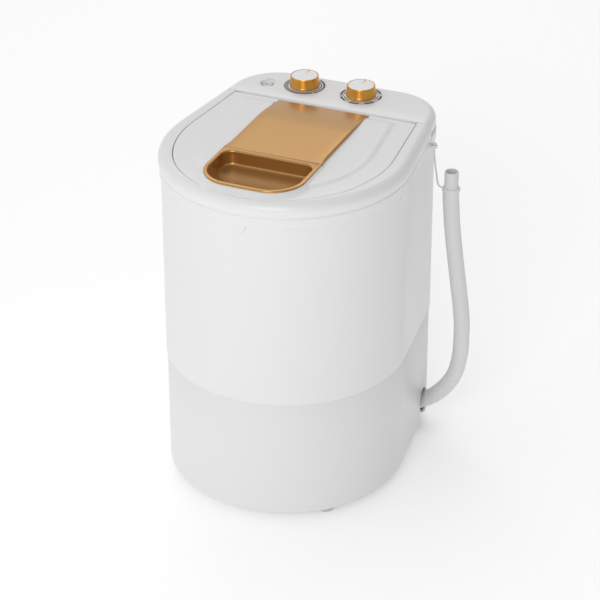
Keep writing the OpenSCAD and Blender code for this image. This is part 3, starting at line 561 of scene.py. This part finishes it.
def quarter(r: float, off: float, z: float, start: float, end: float,
            n: int = 6) -> Profile:
    """Arc of a wall's profile as (offset, height).

    Args:
        r: radius. off: centre's offset. z: centre's height.
        start: first angle. end: last angle. n: steps.

    Returns:
        The points.
    """
    return arc(off, z, r, start, end, n)


# ---------- sub-assemblies ----------


@dataclass
class Cabinet:
    """Base, barrel and feet."""

    wall: float = 2.8
    base_foot_r: float = 9.0

    def base(self) -> None:
        """Base casing with a rolled foot, a shadow step below the barrel and a notch."""
        o, w, r = -1.5, self.wall, self.base_foot_r
        prof = ([(o - 46, GROUND + w), (o - 46, GROUND)]
                + quarter(r, o - r, GROUND + r, -90, 0, 8)
                + [(o, 120.0), (o, SEAM_Z - 1.2)] + [(o - 0.5, SEAM_Z - 0.3)]
                + [(o - 1.2, SEAM_Z), (o - w, SEAM_Z), (o - w, GROUND + w + 8)]
                + [(o - w - 2, GROUND + w + 1), (o - w - 8, GROUND + w)])
        shell = Solid().loft([at_height(plan(a), z) for a, z in prof + prof[:1]], join=True)
        w2 = 19.0
        arch = ([(-w2, -1.0)] + [(x, z) for x, z in arc(0, 50, w2, 180, 0, 20)]
                + [(w2, -1.0)])
        cut = Solid().loft([[(x, 130 - a, z) for a, z in arch] for x in (138, 205)],
                           cap_start=True, cap_end=True)
        hole = Solid().lathe([(0, -20), (7.1, -20), (7.1, 20), (0, 20)], -60, 208, 32,
                             (0, 1, 0), 70)
        out = carve(shell, [cut, hole])
        out.soften(lambda e: all(v.co.x > 0.13 and v.co.z < 0.071 and v.co.y > 0.105
                                 and v.co.y < 0.155 for v in e.verts), 0.7, 2)
        place(out.object("base_shell"), BASE_WHITE, "cabinet", ["base_casing"])

    def barrel(self) -> None:
        """Barrel with a rounded lower edge over the seam."""
        w = self.wall
        prof = ([(-w, 495.0), (-w, SEAM_Z + 1)] + [(-w + 0.6, SEAM_Z)]
                + quarter(1.6, -1.6, SEAM_Z + 1.7, -90, 0, 5)
                + [(0.0, 340.0), (0.0, RING_Z - 4), (0.0, 495.0)])
        shell = Solid().loft([at_height(plan(a), z) for a, z in prof + prof[:1]], join=True)
        place(shell.object("barrel_shell"), WHITE, "cabinet", ["barrel"])

    def feet(self) -> None:
        """Four round feet with a softened tread."""
        out = Solid()
        for x, y in ((107.48, -137.48), (-107.48, -137.48), (113, 163), (-113, 163)):
            out.lathe([(0, 0), (10.2, 0), (11.4, 0.5), (12, 1.6), (13, 3), (13, 10.6),
                       (12.2, 11.9), (4, 12), (4, 20), (0, 20)], x, y, 48)
        place(out.object("feet_round"), FOOT, "cabinet", ["feet"])

    def build(self) -> None:
        """Builds every piece of the cabinet."""
        self.base()
        self.barrel()
        self.feet()


@dataclass
class TopRing:
    """Ring with its band, crease and shoulder, the lid's well and the mouth."""

    band: float = 2.0
    proud: float = 3.9
    run: float = 14.0

    def outer_profile(self) -> Profile:
        """Outer profile from the band's foot up to the crease.

        Returns:
            Points as (offset, height).
        """
        b, p = self.band, self.proud
        return ([(0.35, 494.0), (0.35, RING_Z + 0.4), (0.8, RING_Z)]
                + quarter(1.2, b - 1.2, RING_Z + 1.3, -90, 0, 4)
                + [(b + 0.1, CREASE_Z - 4), (b, CREASE_Z - 1.2), (b - 0.9, CREASE_Z - 0.3),
                   (b - 1.0, CREASE_Z + 0.2), (b - 0.4, CREASE_Z + 0.9),
                   (b + 0.9, CREASE_Z + 2.2), (p - 0.8, CREASE_Z + 4.6),
                   (p - 0.25, CREASE_Z + 7)])

    def build(self) -> None:
        """Builds the ring, its tabs and the strap lug."""
        p, r = self.proud, self.run
        prof = (self.outer_profile() + quarter(r, p - r, RIM_Z - r, 0, 90, 12)
                + [(p - r - 6, RIM_Z)])
        rings = [at_height(plan(a), z) for a, z in prof]
        body = Solid().loft(rings, cap_start=True, cap_end=True)
        cuts = [
            prism(lid_outline(1.2, PANEL_Y + 3), LEDGE_Z, RIM_Z + 9),
            Solid().lathe([(0, 480), (151, 480), (151, 522), (0, 522)], 0, ARC_Y, 160),
            Solid().box((-250, PANEL_Y - 0.6, CREASE_Z), (250, 260, 560)),
        ]
        cuts[1] = carve(cuts[1], [Solid().box((-200, 95.0, 470), (200, 240, 530.0))])
        out = carve(body, cuts)
        out.soften(lambda e: all(abs(v.co.z - RIM_Z * MM) < 2e-5 for v in e.verts), 1.3, 4)
        out.soften(lambda e: all(abs(v.co.z - LEDGE_Z * MM) < 2e-5
                                 and v.co.y < 0.094 for v in e.verts), 1.0, 2)
        place(out.object("ring_body"), WHITE, "cabinet", ["top_ring"])
        self.tabs()

    def tabs(self) -> None:
        """Half-round tabs under the band and the lug for the strap."""
        out = Solid()
        for turn in (-90.0, 3.0, 188.0):
            half = arc(0, 0, 16.5, 180, 360, 28)
            rows = []
            for depth, grow in ((0.2, 0.0), (1.3, 0.0), (1.8, -0.35), (2.05, -0.9)):
                k = (16.5 + grow) / 16.5
                rows.append([((FRONT_R + depth), a * k, RING_Z + 1 + z * k)
                             for a, z in half])
            for part_k in (0.8, 0.6, 0.4, 0.2, 0.02):
                rows.append([(FRONT_R + 2.05, a * 0.94 * part_k,
                              RING_Z + 1 + z * 0.94 * part_k) for a, z in half])
            part = Solid().loft(rows, cap_start=True, cap_end=True)
            bend = part.bm
            for v in bend.verts:
                v.co.x -= FRONT_R * MM - math.sqrt(
                    (FRONT_R * MM) ** 2 - v.co.y ** 2)
            bmesh.ops.rotate(bend, cent=(0, 0, 0), verts=bend.verts[:],
                             matrix=Matrix.Rotation(math.radians(turn), 3, "Z"))
            bmesh.ops.translate(bend, vec=(0, ARC_Y * MM, 0), verts=bend.verts[:])
            out.take(bend)
        out.box((162.5, 115.6, 489), (169, 124.4, 493.8), 0.8)
        out.lathe([(1.7, 489), (4.2, 489), (4.9, 489.7), (4.9, 493.1), (4.2, 493.8),
                   (1.7, 493.8), (1.7, 489)], 170.0, 120.0, 32)
        place(out.object("ring_tabs"), WHITE, "cabinet")


@dataclass
class Lid:
    """Lid plate with its raised field, gold strip and scooped handle."""

    border: float = 25.0
    rise: float = 3.0

    def plate(self) -> None:
        """White plate, hollow below, with a softly raised field and a rolled rear edge."""
        rows = [(-9.0, LEDGE_Z + 5.5, 12.0), (-9.0, LEDGE_Z, 12.0), (-0.8, LEDGE_Z, 0.0),
                (0.0, LEDGE_Z + 0.8, 0.0), (0.0, RIM_Z - 1.1, 0.0)]
        rows += [(-1.1 + 1.1 * math.cos(a), RIM_Z - 1.1 + 1.1 * math.sin(a), 0.0)
                 for a in (0.4, 0.8, 1.2, 1.57)]
        rows += [(-self.border + 1, RIM_Z, 7.0)]
        for k in range(1, 11):
            s = k / 10
            rows.append((-self.border - 12 * s, RIM_Z + self.rise * (3 * s * s - 2 * s ** 3),
                         7.0 + 12 * s))
        rows.append((-self.border - 30, RIM_Z + self.rise, 40.0))
        rings = [at_height(lid_outline(o, HINGE_Y - b), z) for o, z, b in rows]
        plate = Solid().loft(rings, cap_start=True, cap_end=True)
        pocket = prism(self.pocket(-1.2), 500, 545)
        seat = Solid().box((-72.8, -82.0, RIM_Z - 0.6), (72.8, HINGE_Y + 6, 545))
        out = carve(plate, [pocket, seat])
        out.lathe([(0, -135), (4.1, -135), (4.5, -134.6), (4.5, 134.6), (4.1, 135),
                   (0, 135)], 0, HINGE_Y, 32, (1, 0, 0), HINGE_Z)
        place(out.object("lid_plate"), WHITE, "lid", ["lid"])

    @staticmethod
    def strip_z(y: float) -> float:
        """Height of the strip's top.

        Args:
            y: place from front to back.

        Returns:
            The height.
        """
        s = min(1.0, max(0.0, (HINGE_Y - 2 - y) / 84))
        return RIM_Z + 0.2 + (CROWN_Z - RIM_Z - 0.2) * math.sin(math.pi / 2 * s)

    def strip(self) -> None:
        """Gold strip, flared a little where it meets the handle."""
        ys = [HINGE_Y - 0.8 - k * (188.2 / 64) for k in range(65)]
        rows = []
        for y in ys:
            s = min(1.0, max(0.0, (-52.0 - y) / 28))
            w = 72.6 + 2.8 * s * s
            z, e = self.strip_z(y), 1.0
            low = min(RIM_Z - 0.5, z - 2) if y < HINGE_Y - 8 else z - 1.6
            side = [(w, low), (w, z - e)] + arc(w - e, z - e, e, 22, 90, 3)
            half = side + [(w - e - (w - e) * k / 6, z) for k in range(1, 6)] + [(0.0, z)]
            rows.append([(-x, y, h) for x, h in half[:-1]]
                        + [(x, y, h) for x, h in reversed(half)])
        out = Solid().loft(rows, closed=True, cap_start=True, cap_end=True)
        place(out.object("lid_gold_strip"), GOLD, "lid", ["lid_strip"])

    @staticmethod
    def outline(o: float) -> Profile:
        """Handle's outline drawn in by o.

        Args:
            o: inset.

        Returns:
            The outline.
        """
        return rounded_box(75.4 - o, -185.5 + o, -80.2, max(47.0 - o, 8), 0.6, 3.0)

    @staticmethod
    def pocket(o: float, front: float = 0.0) -> Profile:
        """Finger pocket's outline drawn in by o.

        Args:
            o: inset. front: how much further back the front edge lies.

        Returns:
            The outline.
        """
        run = 91.0 - 2 * o - front
        return rounded_box(69.0 - o, -179.0 + o + front, -88.0 - o,
                           max(min(40.0 - o, 0.6 * run), 3),
                           max(min(16.0 - o, 0.35 * run), 3), 3.0)

    def skirt(self) -> None:
        """White bed that rises from the field to the handle's rim."""
        rows = [(self.outline(-13.0), RIM_Z - 0.4), (self.outline(-9.0), RIM_Z + 0.5),
                (self.outline(-5.0), RIM_Z + 2.3), (self.outline(-2.2), RIM_Z + 4.2),
                (self.outline(-0.6), CROWN_Z - 3.0), (self.outline(0.8), CROWN_Z - 2.7)]
        bed = Solid().loft([at_height(o, z) for o, z in rows], cap_start=True,
                           cap_end=True)
        out = carve(bed, [Solid().loft([at_height(self.pocket(-1.2), 520),
                                        at_height(self.pocket(-1.2), 545)],
                                       cap_start=True, cap_end=True)])
        place(out.object("lid_handle_bed"), WHITE, "lid")

    def handle(self) -> None:
        """Gold scooped handle: thin rim, raised lip, steep back wall, rising floor."""
        rows = [(self.outline(1.2), CROWN_Z - 3.4), (self.outline(0.0), CROWN_Z - 2.6),
                (self.outline(0.0), CROWN_Z - 1.3), (self.outline(0.4), CROWN_Z - 0.6),
                (self.outline(1.2), CROWN_Z - 0.2), (self.outline(2.4), CROWN_Z - 0.15)]
        outer = Solid().loft([at_height(o, z) for o, z in rows], cap_start=True,
                             cap_end=True)
        deep = 23.0
        cutter = [(self.pocket(-2.6), CROWN_Z + 2), (self.pocket(-1.6), CROWN_Z - 0.1),
                  (self.pocket(-0.6), CROWN_Z - 0.9), (self.pocket(0.0), CROWN_Z - 2.2)]
        for k in range(1, 13):
            t = k / 12
            inset = 1.5 * t + 7.5 * max(0.0, (t - 0.6) / 0.4) ** 2
            cutter.append((self.pocket(inset, 50 * t), CROWN_Z - 2.2 - (deep - 2.2)
                           * math.sin(t * math.pi / 2)))
        tool = Solid().loft([at_height(o, z) for o, z in cutter], cap_start=True,
                            cap_end=True)
        cup = [(self.pocket(-1.0), CROWN_Z - 3.2), (self.pocket(-0.8, 2), CROWN_Z - 16.0),
               (self.pocket(-0.6, 8), CROWN_Z - 24.0), (self.pocket(1.0, 12), CROWN_Z - 25.6)]
        shell = Solid().loft([at_height(o, z) for o, z in cup], cap_start=True,
                             cap_end=True)
        rim = carve(outer, [self._copy(tool)])
        bowl = carve(shell, [tool])
        rim.take(bowl.bm)
        obj = place(rim.object("lid_gold_handle", 30), GOLD, "lid", ["lid_handle"])
        # The upward faces deep in the pocket take the darker gold, which is painted shade for
        # the recess.
        obj.data.materials.append(PAINT.get(GOLD_MATT_AND_SHADE))
        for f in obj.data.polygons:
            if f.center.z < (CROWN_Z - 4.0) * MM and f.normal.z > 0.86:
                f.material_index = 1
        self.lip()
        self.skirt()

    @staticmethod
    def _copy(solid: Solid) -> Solid:
        """Copies a solid, because carving frees the tool it is given.

        Args:
            solid: what is copied.

        Returns:
            The copy.
        """
        out = Solid()
        out.bm = solid.bm.copy()
        return out

    def lip(self) -> None:
        """Thin raised bead round the pocket."""
        z = CROWN_Z - 0.7
        rows = [at_height(self.pocket(-2.2 + 0.9 * math.cos(a)), z + 0.7 * math.sin(a))
                for a in [2 * math.pi * k / 10 for k in range(11)]]
        out = Solid().loft(rows, join=True)
        place(out.object("lid_gold_lip"), GOLD, "lid")

    def build(self) -> None:
        """Builds every piece of the lid."""
        self.plate()
        self.strip()
        self.handle()


@dataclass
class ControlPanel:
    """Rear panel with its inlet, dial marks and knobs."""

    proud: float = 1.2
    run: float = 12.0

    def shell(self) -> None:
        """Panel with a rolled outer edge, cut flat towards the lid."""
        p, r = self.proud, self.run
        prof = ([(p - 2.4, CREASE_Z + 0.7), (p - 0.9, CREASE_Z + 2.4),
                 (p - 0.2, CREASE_Z + 6)] + quarter(r, p - r, PANEL_Z - r, 0, 90, 12)
                + [(p - r - 8, PANEL_Z)])
        body = Solid().loft([at_height(plan(a), z) for a, z in prof], cap_start=True,
                            cap_end=True)
        cuts = [Solid().box((-260, -300, 480), (260, PANEL_Y, 560)),
                Solid().lathe([(0, 519), (12.1, 519), (12.1, 540), (0, 540)], *INLET, 48)]
        out = carve(body, cuts)
        out.soften(lambda e: all(abs(v.co.y - PANEL_Y * MM) < 2e-5
                                 and v.co.z > 0.5045 for v in e.verts), 0.9, 3)
        place(out.object("panel_shell"), WHITE, "cabinet", ["control_panel"])

    def inlet(self) -> None:
        """Round recess with its spigot."""
        out = Solid().lathe([(4.5, 519), (6.2, 519), (10.2, 519.4), (10.5, 526.8),
                             (11.0, 527.5), (11.9, 527.6), (11.9, 518.4), (4.5, 518.4),
                             (4.5, 519)], *INLET, 56)
        out.lathe([(4.5, 519), (6.5, 519), (6.5, 526.3), (6.0, 526.9), (5.0, 526.9),
                   (4.5, 526.4), (4.5, 519)], *INLET, 48)
        place(out.object("inlet_cup"), WHITE, "cabinet", ["water_inlet"])

    @staticmethod
    def sector(out: Solid, x: float, r1: float, r2: float, start: float, end: float,
               y: float = DIAL_Y) -> None:
        """Adds a flat printed arc.

        Args:
            out: what it is added to. x: centre. r1: inner radius. r2: outer radius.
            start: first angle, anticlockwise from +X. end: last angle. y: centre.
        """
        part = bmesh.new()
        a = math.radians(start)
        ends = [part.verts.new((r * MM * math.cos(a), r * MM * math.sin(a), 0))
                for r in (r1, r2)]
        edge = part.edges.new(ends)
        steps = max(2, int(abs(end - start) / 3))
        bmesh.ops.spin(part, geom=ends + [edge], cent=(0, 0, 0), axis=(0, 0, 1),
                       angle=math.radians(end - start), steps=steps)
        bmesh.ops.translate(part, vec=Vector((x, y, PANEL_Z + 0.06)) * MM,
                            verts=part.verts[:])
        for f in part.faces:
            f.normal_update()
            if f.normal.z < 0:
                f.normal_flip()
        temp = bpy.data.meshes.new("temp")
        part.to_mesh(temp)
        part.free()
        out.bm.from_mesh(temp)
        bpy.data.meshes.remove(temp)

    def marks(self) -> None:
        """Generic dial marks: arcs, ticks and small rings, with no words."""
        ink, grey = Solid(), Solid()
        self.sector(grey, TIMER_X, 24.5, 31.5, 120, 318)
        for r1, r2 in ((24.4, 26.2), (28.0, 31.2)):
            self.sector(ink, TIMER_X, r1, r2, -40, 62)
        for k in range(7):
            self.sector(ink, TIMER_X, 31.8, 33.4, -36 + 16 * k, -34.6 + 16 * k)
        gaps = [-158, -112, -66, -20, 26, 154, 200]
        for a, b in ((-150, -120), (-104, -74), (-58, -28), (-12, 18), (34, 64),
                     (116, 146), (162, 194)):
            self.sector(ink, SELECTOR_X, 24.4, 26.2, a, b)
            self.sector(ink, SELECTOR_X, 28.0, 31.6, a, b)
        for g in gaps:
            gx = SELECTOR_X + 28.6 * math.cos(math.radians(g))
            gy = DIAL_Y + 28.6 * math.sin(math.radians(g))
            self.sector(ink, gx, 2.2, 3.0, 0, 359.9, gy)
        for x in (TIMER_X, SELECTOR_X):
            self.sector(ink, x, 0.0001, 1.3, 0, 359.9, DIAL_Y + 33.5)
        self.sector(grey, INLET[0], 14.0, 14.8, 60, 120, INLET[1])
        for solid, name, finish in ((ink, "marks_dark", INK), (grey, "marks_grey", INK_GREY)):
            place(solid.object(name), finish, "cabinet")

    def knob(self, x: float, body: str) -> None:
        """Gold knob with a plain flared skirt, a white disc and a pointer.

        Args:
            x: centre. body: the CAD body, timer or selector.
        """
        low = PANEL_Z + 0.7
        top = PANEL_Z + 17.6
        prof = [(0, low + 3), (19.0, low + 3), (19.4, low), (22.0, low), (22.5, low + 0.6),
                (22.5, low + 2.0), (22.1, low + 2.7), (21.9, low + 3.6),
                (21.3, top - 2.2), (21.1, top - 0.9), (20.6, top - 0.1),
                (20.0, top), (19.7, top - 0.4), (19.7, top - 1.5), (0, top - 1.5)]
        out = Solid().lathe(prof, x, DIAL_Y, 96)
        out.box((x - 1.0, DIAL_Y + 6.5, top - 1.6), (x + 1.0, DIAL_Y + 19.6, top + 0.0), 0.25)
        place(out.object(f"{body}_knob_gold"), GOLD_KNOB, body, [f"{body}_knob"])
        disc = Solid().lathe([(0, top - 1.5), (19.5, top - 1.5), (19.5, top - 0.5),
                              (19.1, top - 0.15), (18.0, top - 0.1), (0, top - 0.1)],
                             x, DIAL_Y, 96)
        place(disc.object(f"{body}_knob_disc"), CAP, body, [f"{body}_knob_cap"])

    def build(self) -> None:
        """Builds every piece of the panel."""
        self.shell()
        self.inlet()
        self.marks()
        self.knob(TIMER_X, "timer")
        self.knob(SELECTOR_X, "selector")


@dataclass
class Interior:
    """Wash tub and pulsator, seen when the lid is open."""

    def tub(self) -> None:
        """Tub with a rounded foot, an inner bead and upright ribs."""
        prof = ([(16.2, 165.4), (146, 165.4)] + arc(146, 179.4, 14, -90, 0, 8)
                + [(160, 480), (167, 480), (167, 483), (157.9, 483), (157.4, 482),
                   (157.4, 182)] + arc(146, 182, 11.4, 0, -90, 8)
                + [(146, 168.6), (60, 168), (16.2, 168), (16.2, 165.4)])
        out = Solid().lathe(prof, 0, ARC_Y, 144)
        for k in range(12):
            out.box((154.2, ARC_Y - 4, 190), (158.5, ARC_Y + 4, 440), 1.6, 30 * k + 15,
                    (0, ARC_Y))
        place(out.object("tub_shell"), TUB, "cabinet", ["wash_tub"])

    def pulsator(self) -> None:
        """Pulsator disc with a dished top, rounded ribs and a centre cap."""
        z = 177.0
        out = Solid().lathe([(6.2, z), (91, z), (92, z + 1), (91.6, z + 4), (88, z + 5.5),
                             (60, z + 5), (36, z + 6.5), (28, z + 13), (24, z + 21),
                             (21, z + 23.4), (16, z + 24), (9, z + 24), (9, z + 18),
                             (6.2, z + 18), (6.2, z)], 0, ARC_Y, 120)
        for k in range(4):
            out.box((18, ARC_Y - 5, z + 2), (82, ARC_Y + 5, z + 15.8), 3.5, 90 * k,
                    (0, ARC_Y))
        place(out.object("pulsator_disc"), PULSATOR, "agitator", ["pulsator"])

    def build(self) -> None:
        """Builds the inside."""
        self.tub()
        self.pulsator()


class Hose:
    """Drain hose, its cuff with a collar, and the strap."""

    diameter = 25.0

    @staticmethod
    def smooth(route: Sequence[Tuple[float, float, float]], step: float) -> List[Vector]:
        """Resamples a route as an even smooth line.

        Args:
            route: route points. step: spacing.

        Returns:
            The points.
        """
        pts = [Vector(p) for p in route]
        dense: List[Vector] = []
        for i in range(len(pts) - 1):
            a, b = pts[max(i - 1, 0)], pts[i]
            c, d = pts[i + 1], pts[min(i + 2, len(pts) - 1)]
            for k in range(24):
                t = k / 24
                dense.append(0.5 * ((2 * b) + (c - a) * t + (2 * a - 5 * b + 4 * c - d)
                                    * t * t + (3 * b - a - 3 * c + d) * t ** 3))
        dense.append(pts[-1])
        out, run = [dense[0]], 0.0
        for p, q in zip(dense, dense[1:]):
            run += (q - p).length
            if run >= step:
                out.append(q)
                run = 0.0
        out[-1] = dense[-1]
        return out

    @staticmethod
    def sweep(line: List[Vector], radius: Callable[[float], float], sides: int) -> Solid:
        """Round tube along a line.

        Args:
            line: centreline. radius: radius by distance run. sides: sides.

        Returns:
            The solid.
        """
        rings, run = [], 0.0
        ref = Vector((0, 1, 0))
        for i, p in enumerate(line):
            d = (line[min(i + 1, len(line) - 1)] - line[max(i - 1, 0)]).normalized()
            u = (ref - d * ref.dot(d)).normalized()
            v = d.cross(u)
            if i:
                run += (p - line[i - 1]).length
            r = radius(run)
            rings.append([tuple(p + r * (math.cos(2 * math.pi * k / sides) * u
                                         + math.sin(2 * math.pi * k / sides) * v))
                          for k in range(sides)])
        return Solid().loft(rings, cap_start=True, cap_end=True)

    def build(self) -> None:
        line = self.smooth(HOSE_ROUTE, 0.8)

        def radius(s: float) -> float:
            """Radius of the hose at a place along it.

            Args:
                s: place along the hose.

            Returns:
                The radius.
            """
            fade = min(1.0, max(0.12, (150 - s) / 60 + 0.35))
            return 12.1 + 0.4 * math.sin(2 * math.pi * s / 4.2) * fade

        hose = place(self.sweep(line, radius, 36).object("hose_tube", 60), HOSE, "cabinet",
                     ["drain_hose"])
        cuff = Solid().lathe([(0, 0), (12.4, 0), (13.3, 0.8), (13.3, 4.6), (12.4, 6.0),
                              (10.9, 6.6), (10.3, 8), (10.4, 30.5), (9.6, 32), (8.2, 31.6),
                              (8.0, 20), (0, 20)], 198, 120, 56, (0, 0, 1), 424)
        cuff = place(cuff.object("hose_cuff_sleeve"), HOSE, "cabinet", ["hose_cuff"])
        strap_line = self.smooth(STRAP_ROUTE, 1.0)
        strap = self.sweep(strap_line, lambda s: 1.3, 12)
        strap.lathe([(0, 0), (2.6, 0), (3.3, 0.8), (3.3, 2.0), (2.4, 3.0), (0, 3.0)], 170,
                    120, 24, (0, 0, 1), 494)
        strap = place(strap.object("hose_strap_line"), HOSE, "cabinet", ["hose_strap"])


# ---------- remaining CAD nodes ----------

NODE_FINISHES = {
    "floor_plate": INNER, "floor_screws": ZINC, "ring_screws": ZINC,
    "lint_filter": INNER, "panel_screws": ZINC, "fill_pipe": INNER, "timer_unit": DARK,
    "timer_shaft": STEEL, "selector_switch": DARK, "selector_shaft": STEEL,
    "hinge_pins": STEEL, "pulsator_screw": ZINC, "drive_shaft": STEEL,
    "upper_bush": BRONZE, "lower_bush": BRONZE, "shaft_seal": SEAL,
    "bearing_housing": CAST, "housing_bolts": ZINC, "driven_pulley": CAST,
    "pulley_nut": ZINC, "drive_belt": RUBBER, "motor_bracket": ZINC, "motor": MOTOR,
    "motor_bolts": ZINC, "motor_shaft": STEEL, "motor_pulley": CAST, "capacitor": INNER,
    "capacitor_clip": ZINC, "drain_elbow": INNER, "drain_clamp": ZINC, "cord_gland": DARK,
}


def paint_nodes() -> None:
    """Gives every CAD node that is shown its finish."""
    for name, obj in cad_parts.items():
        finish = NODE_FINISHES.get(name, WHITE)
        obj.data.materials.clear()
        obj.data.materials.append(PAINT.get(finish))


# ---------- studio ----------


@dataclass(frozen=True)
class Studio:
    """Camera, floor and soft lights."""

    azimuth: float = 23.5
    elevation: float = 29.6
    distance: float = 3.644
    target: Tuple[float, float, float] = (0.0, -0.030, 0.264)
    lens: float = 147.8
    roll: float = -0.24

    def camera(self) -> None:
        """Camera above the front, turned towards the hose side."""
        data = bpy.data.cameras.new("camera")
        cam = bpy.data.objects.new("camera", data)
        bpy.context.scene.collection.objects.link(cam)
        bpy.context.scene.camera = cam
        data.lens, data.sensor_width = self.lens, 36.0
        data.shift_x, data.shift_y = 0.0214, 0.010
        data.clip_start, data.clip_end = 0.05, 60.0
        a, e = math.radians(self.azimuth), math.radians(self.elevation)
        back = Vector((math.sin(a) * math.cos(e), -math.cos(a) * math.cos(e), math.sin(e)))
        cam.location = Vector(self.target) + back * self.distance
        turn = (-back).to_track_quat("-Z", "Y")
        cam.rotation_euler = (turn.to_matrix() @ Matrix.Rotation(
            math.radians(self.roll), 3, "Z")).to_euler()

    def floor(self) -> None:
        """Plain pale floor."""
        bm = bmesh.new()
        bmesh.ops.create_grid(bm, x_segments=1, y_segments=1, size=30.0)
        mesh = bpy.data.meshes.new("floor")
        bm.to_mesh(mesh)
        bm.free()
        obj = bpy.data.objects.new("floor", mesh)
        bpy.context.scene.collection.objects.link(obj)
        mat = bpy.data.materials.new("floor")
        mat.use_nodes = True
        bsdf = mat.node_tree.nodes["Principled BSDF"]
        bsdf.inputs["Base Color"].default_value = (0.93, 0.93, 0.93, 1.0)
        bsdf.inputs["Emission Color"].default_value = (1.0, 1.0, 1.0, 1.0)
        bsdf.inputs["Emission Strength"].default_value = 0.22
        bsdf.inputs["Roughness"].default_value = 0.9
        bsdf.inputs["Specular IOR Level"].default_value = 0.1
        mesh.materials.append(mat)

    @staticmethod
    def light(name: str, at: Tuple[float, float, float], size: Tuple[float, float],
              power: float, color: Tuple[float, float, float] = (1, 1, 1)) -> None:
        """Soft area light aimed at the object.

        Args:
            name: its name. at: place. size: width and height. power: watts. color: tint.
        """
        data = bpy.data.lights.new(name, "AREA")
        data.shape, data.size, data.size_y = "RECTANGLE", *size
        data.energy, data.color = power, color
        obj = bpy.data.objects.new(name, data)
        obj.location = at
        aim = Vector((0, 0, 0.3)) - Vector(at)
        obj.rotation_euler = aim.to_track_quat("-Z", "Y").to_euler()
        bpy.context.scene.collection.objects.link(obj)

    def lights(self) -> None:
        """Pale surround with a key from the upper left and a soft fill."""
        world = bpy.data.worlds.new("world")
        world.use_nodes = True
        bg = world.node_tree.nodes["Background"]
        nodes, links = world.node_tree.nodes, world.node_tree.links
        coord = nodes.new("ShaderNodeTexCoord")
        split = nodes.new("ShaderNodeSeparateXYZ")
        side = nodes.new("ShaderNodeMapRange")
        for name, value in (("From Min", -0.3), ("From Max", 0.9), ("To Min", 0.78),
                            ("To Max", 0.36)):
            side.inputs[name].default_value = value
        links.new(coord.outputs["Generated"], split.inputs[0])
        links.new(split.outputs["X"], side.inputs["Value"])
        links.new(side.outputs["Result"], bg.inputs["Color"])
        bg.inputs["Strength"].default_value = 1.0
        bpy.context.scene.world = world
        self.light("key", (0.5, -3.0, 1.9), (1.3, 1.3), 29.0)
        self.light("back", (-0.9, 2.0, 2.4), (2.2, 0.9), 10.0)

    def build(self) -> None:
        """Builds the studio."""
        bpy.context.scene.view_settings.view_transform = "Standard"
        self.camera()
        self.floor()
        self.lights()


def main() -> None:
    """Builds the studio, then every sub-assembly."""
    logging.basicConfig(level=logging.INFO)
    Studio().build()
    Hose().build()
    Cabinet().build()
    TopRing().build()
    Lid().build()
    ControlPanel().build()
    Interior().build()
    paint_nodes()


if __name__ == "__main__":
    main()
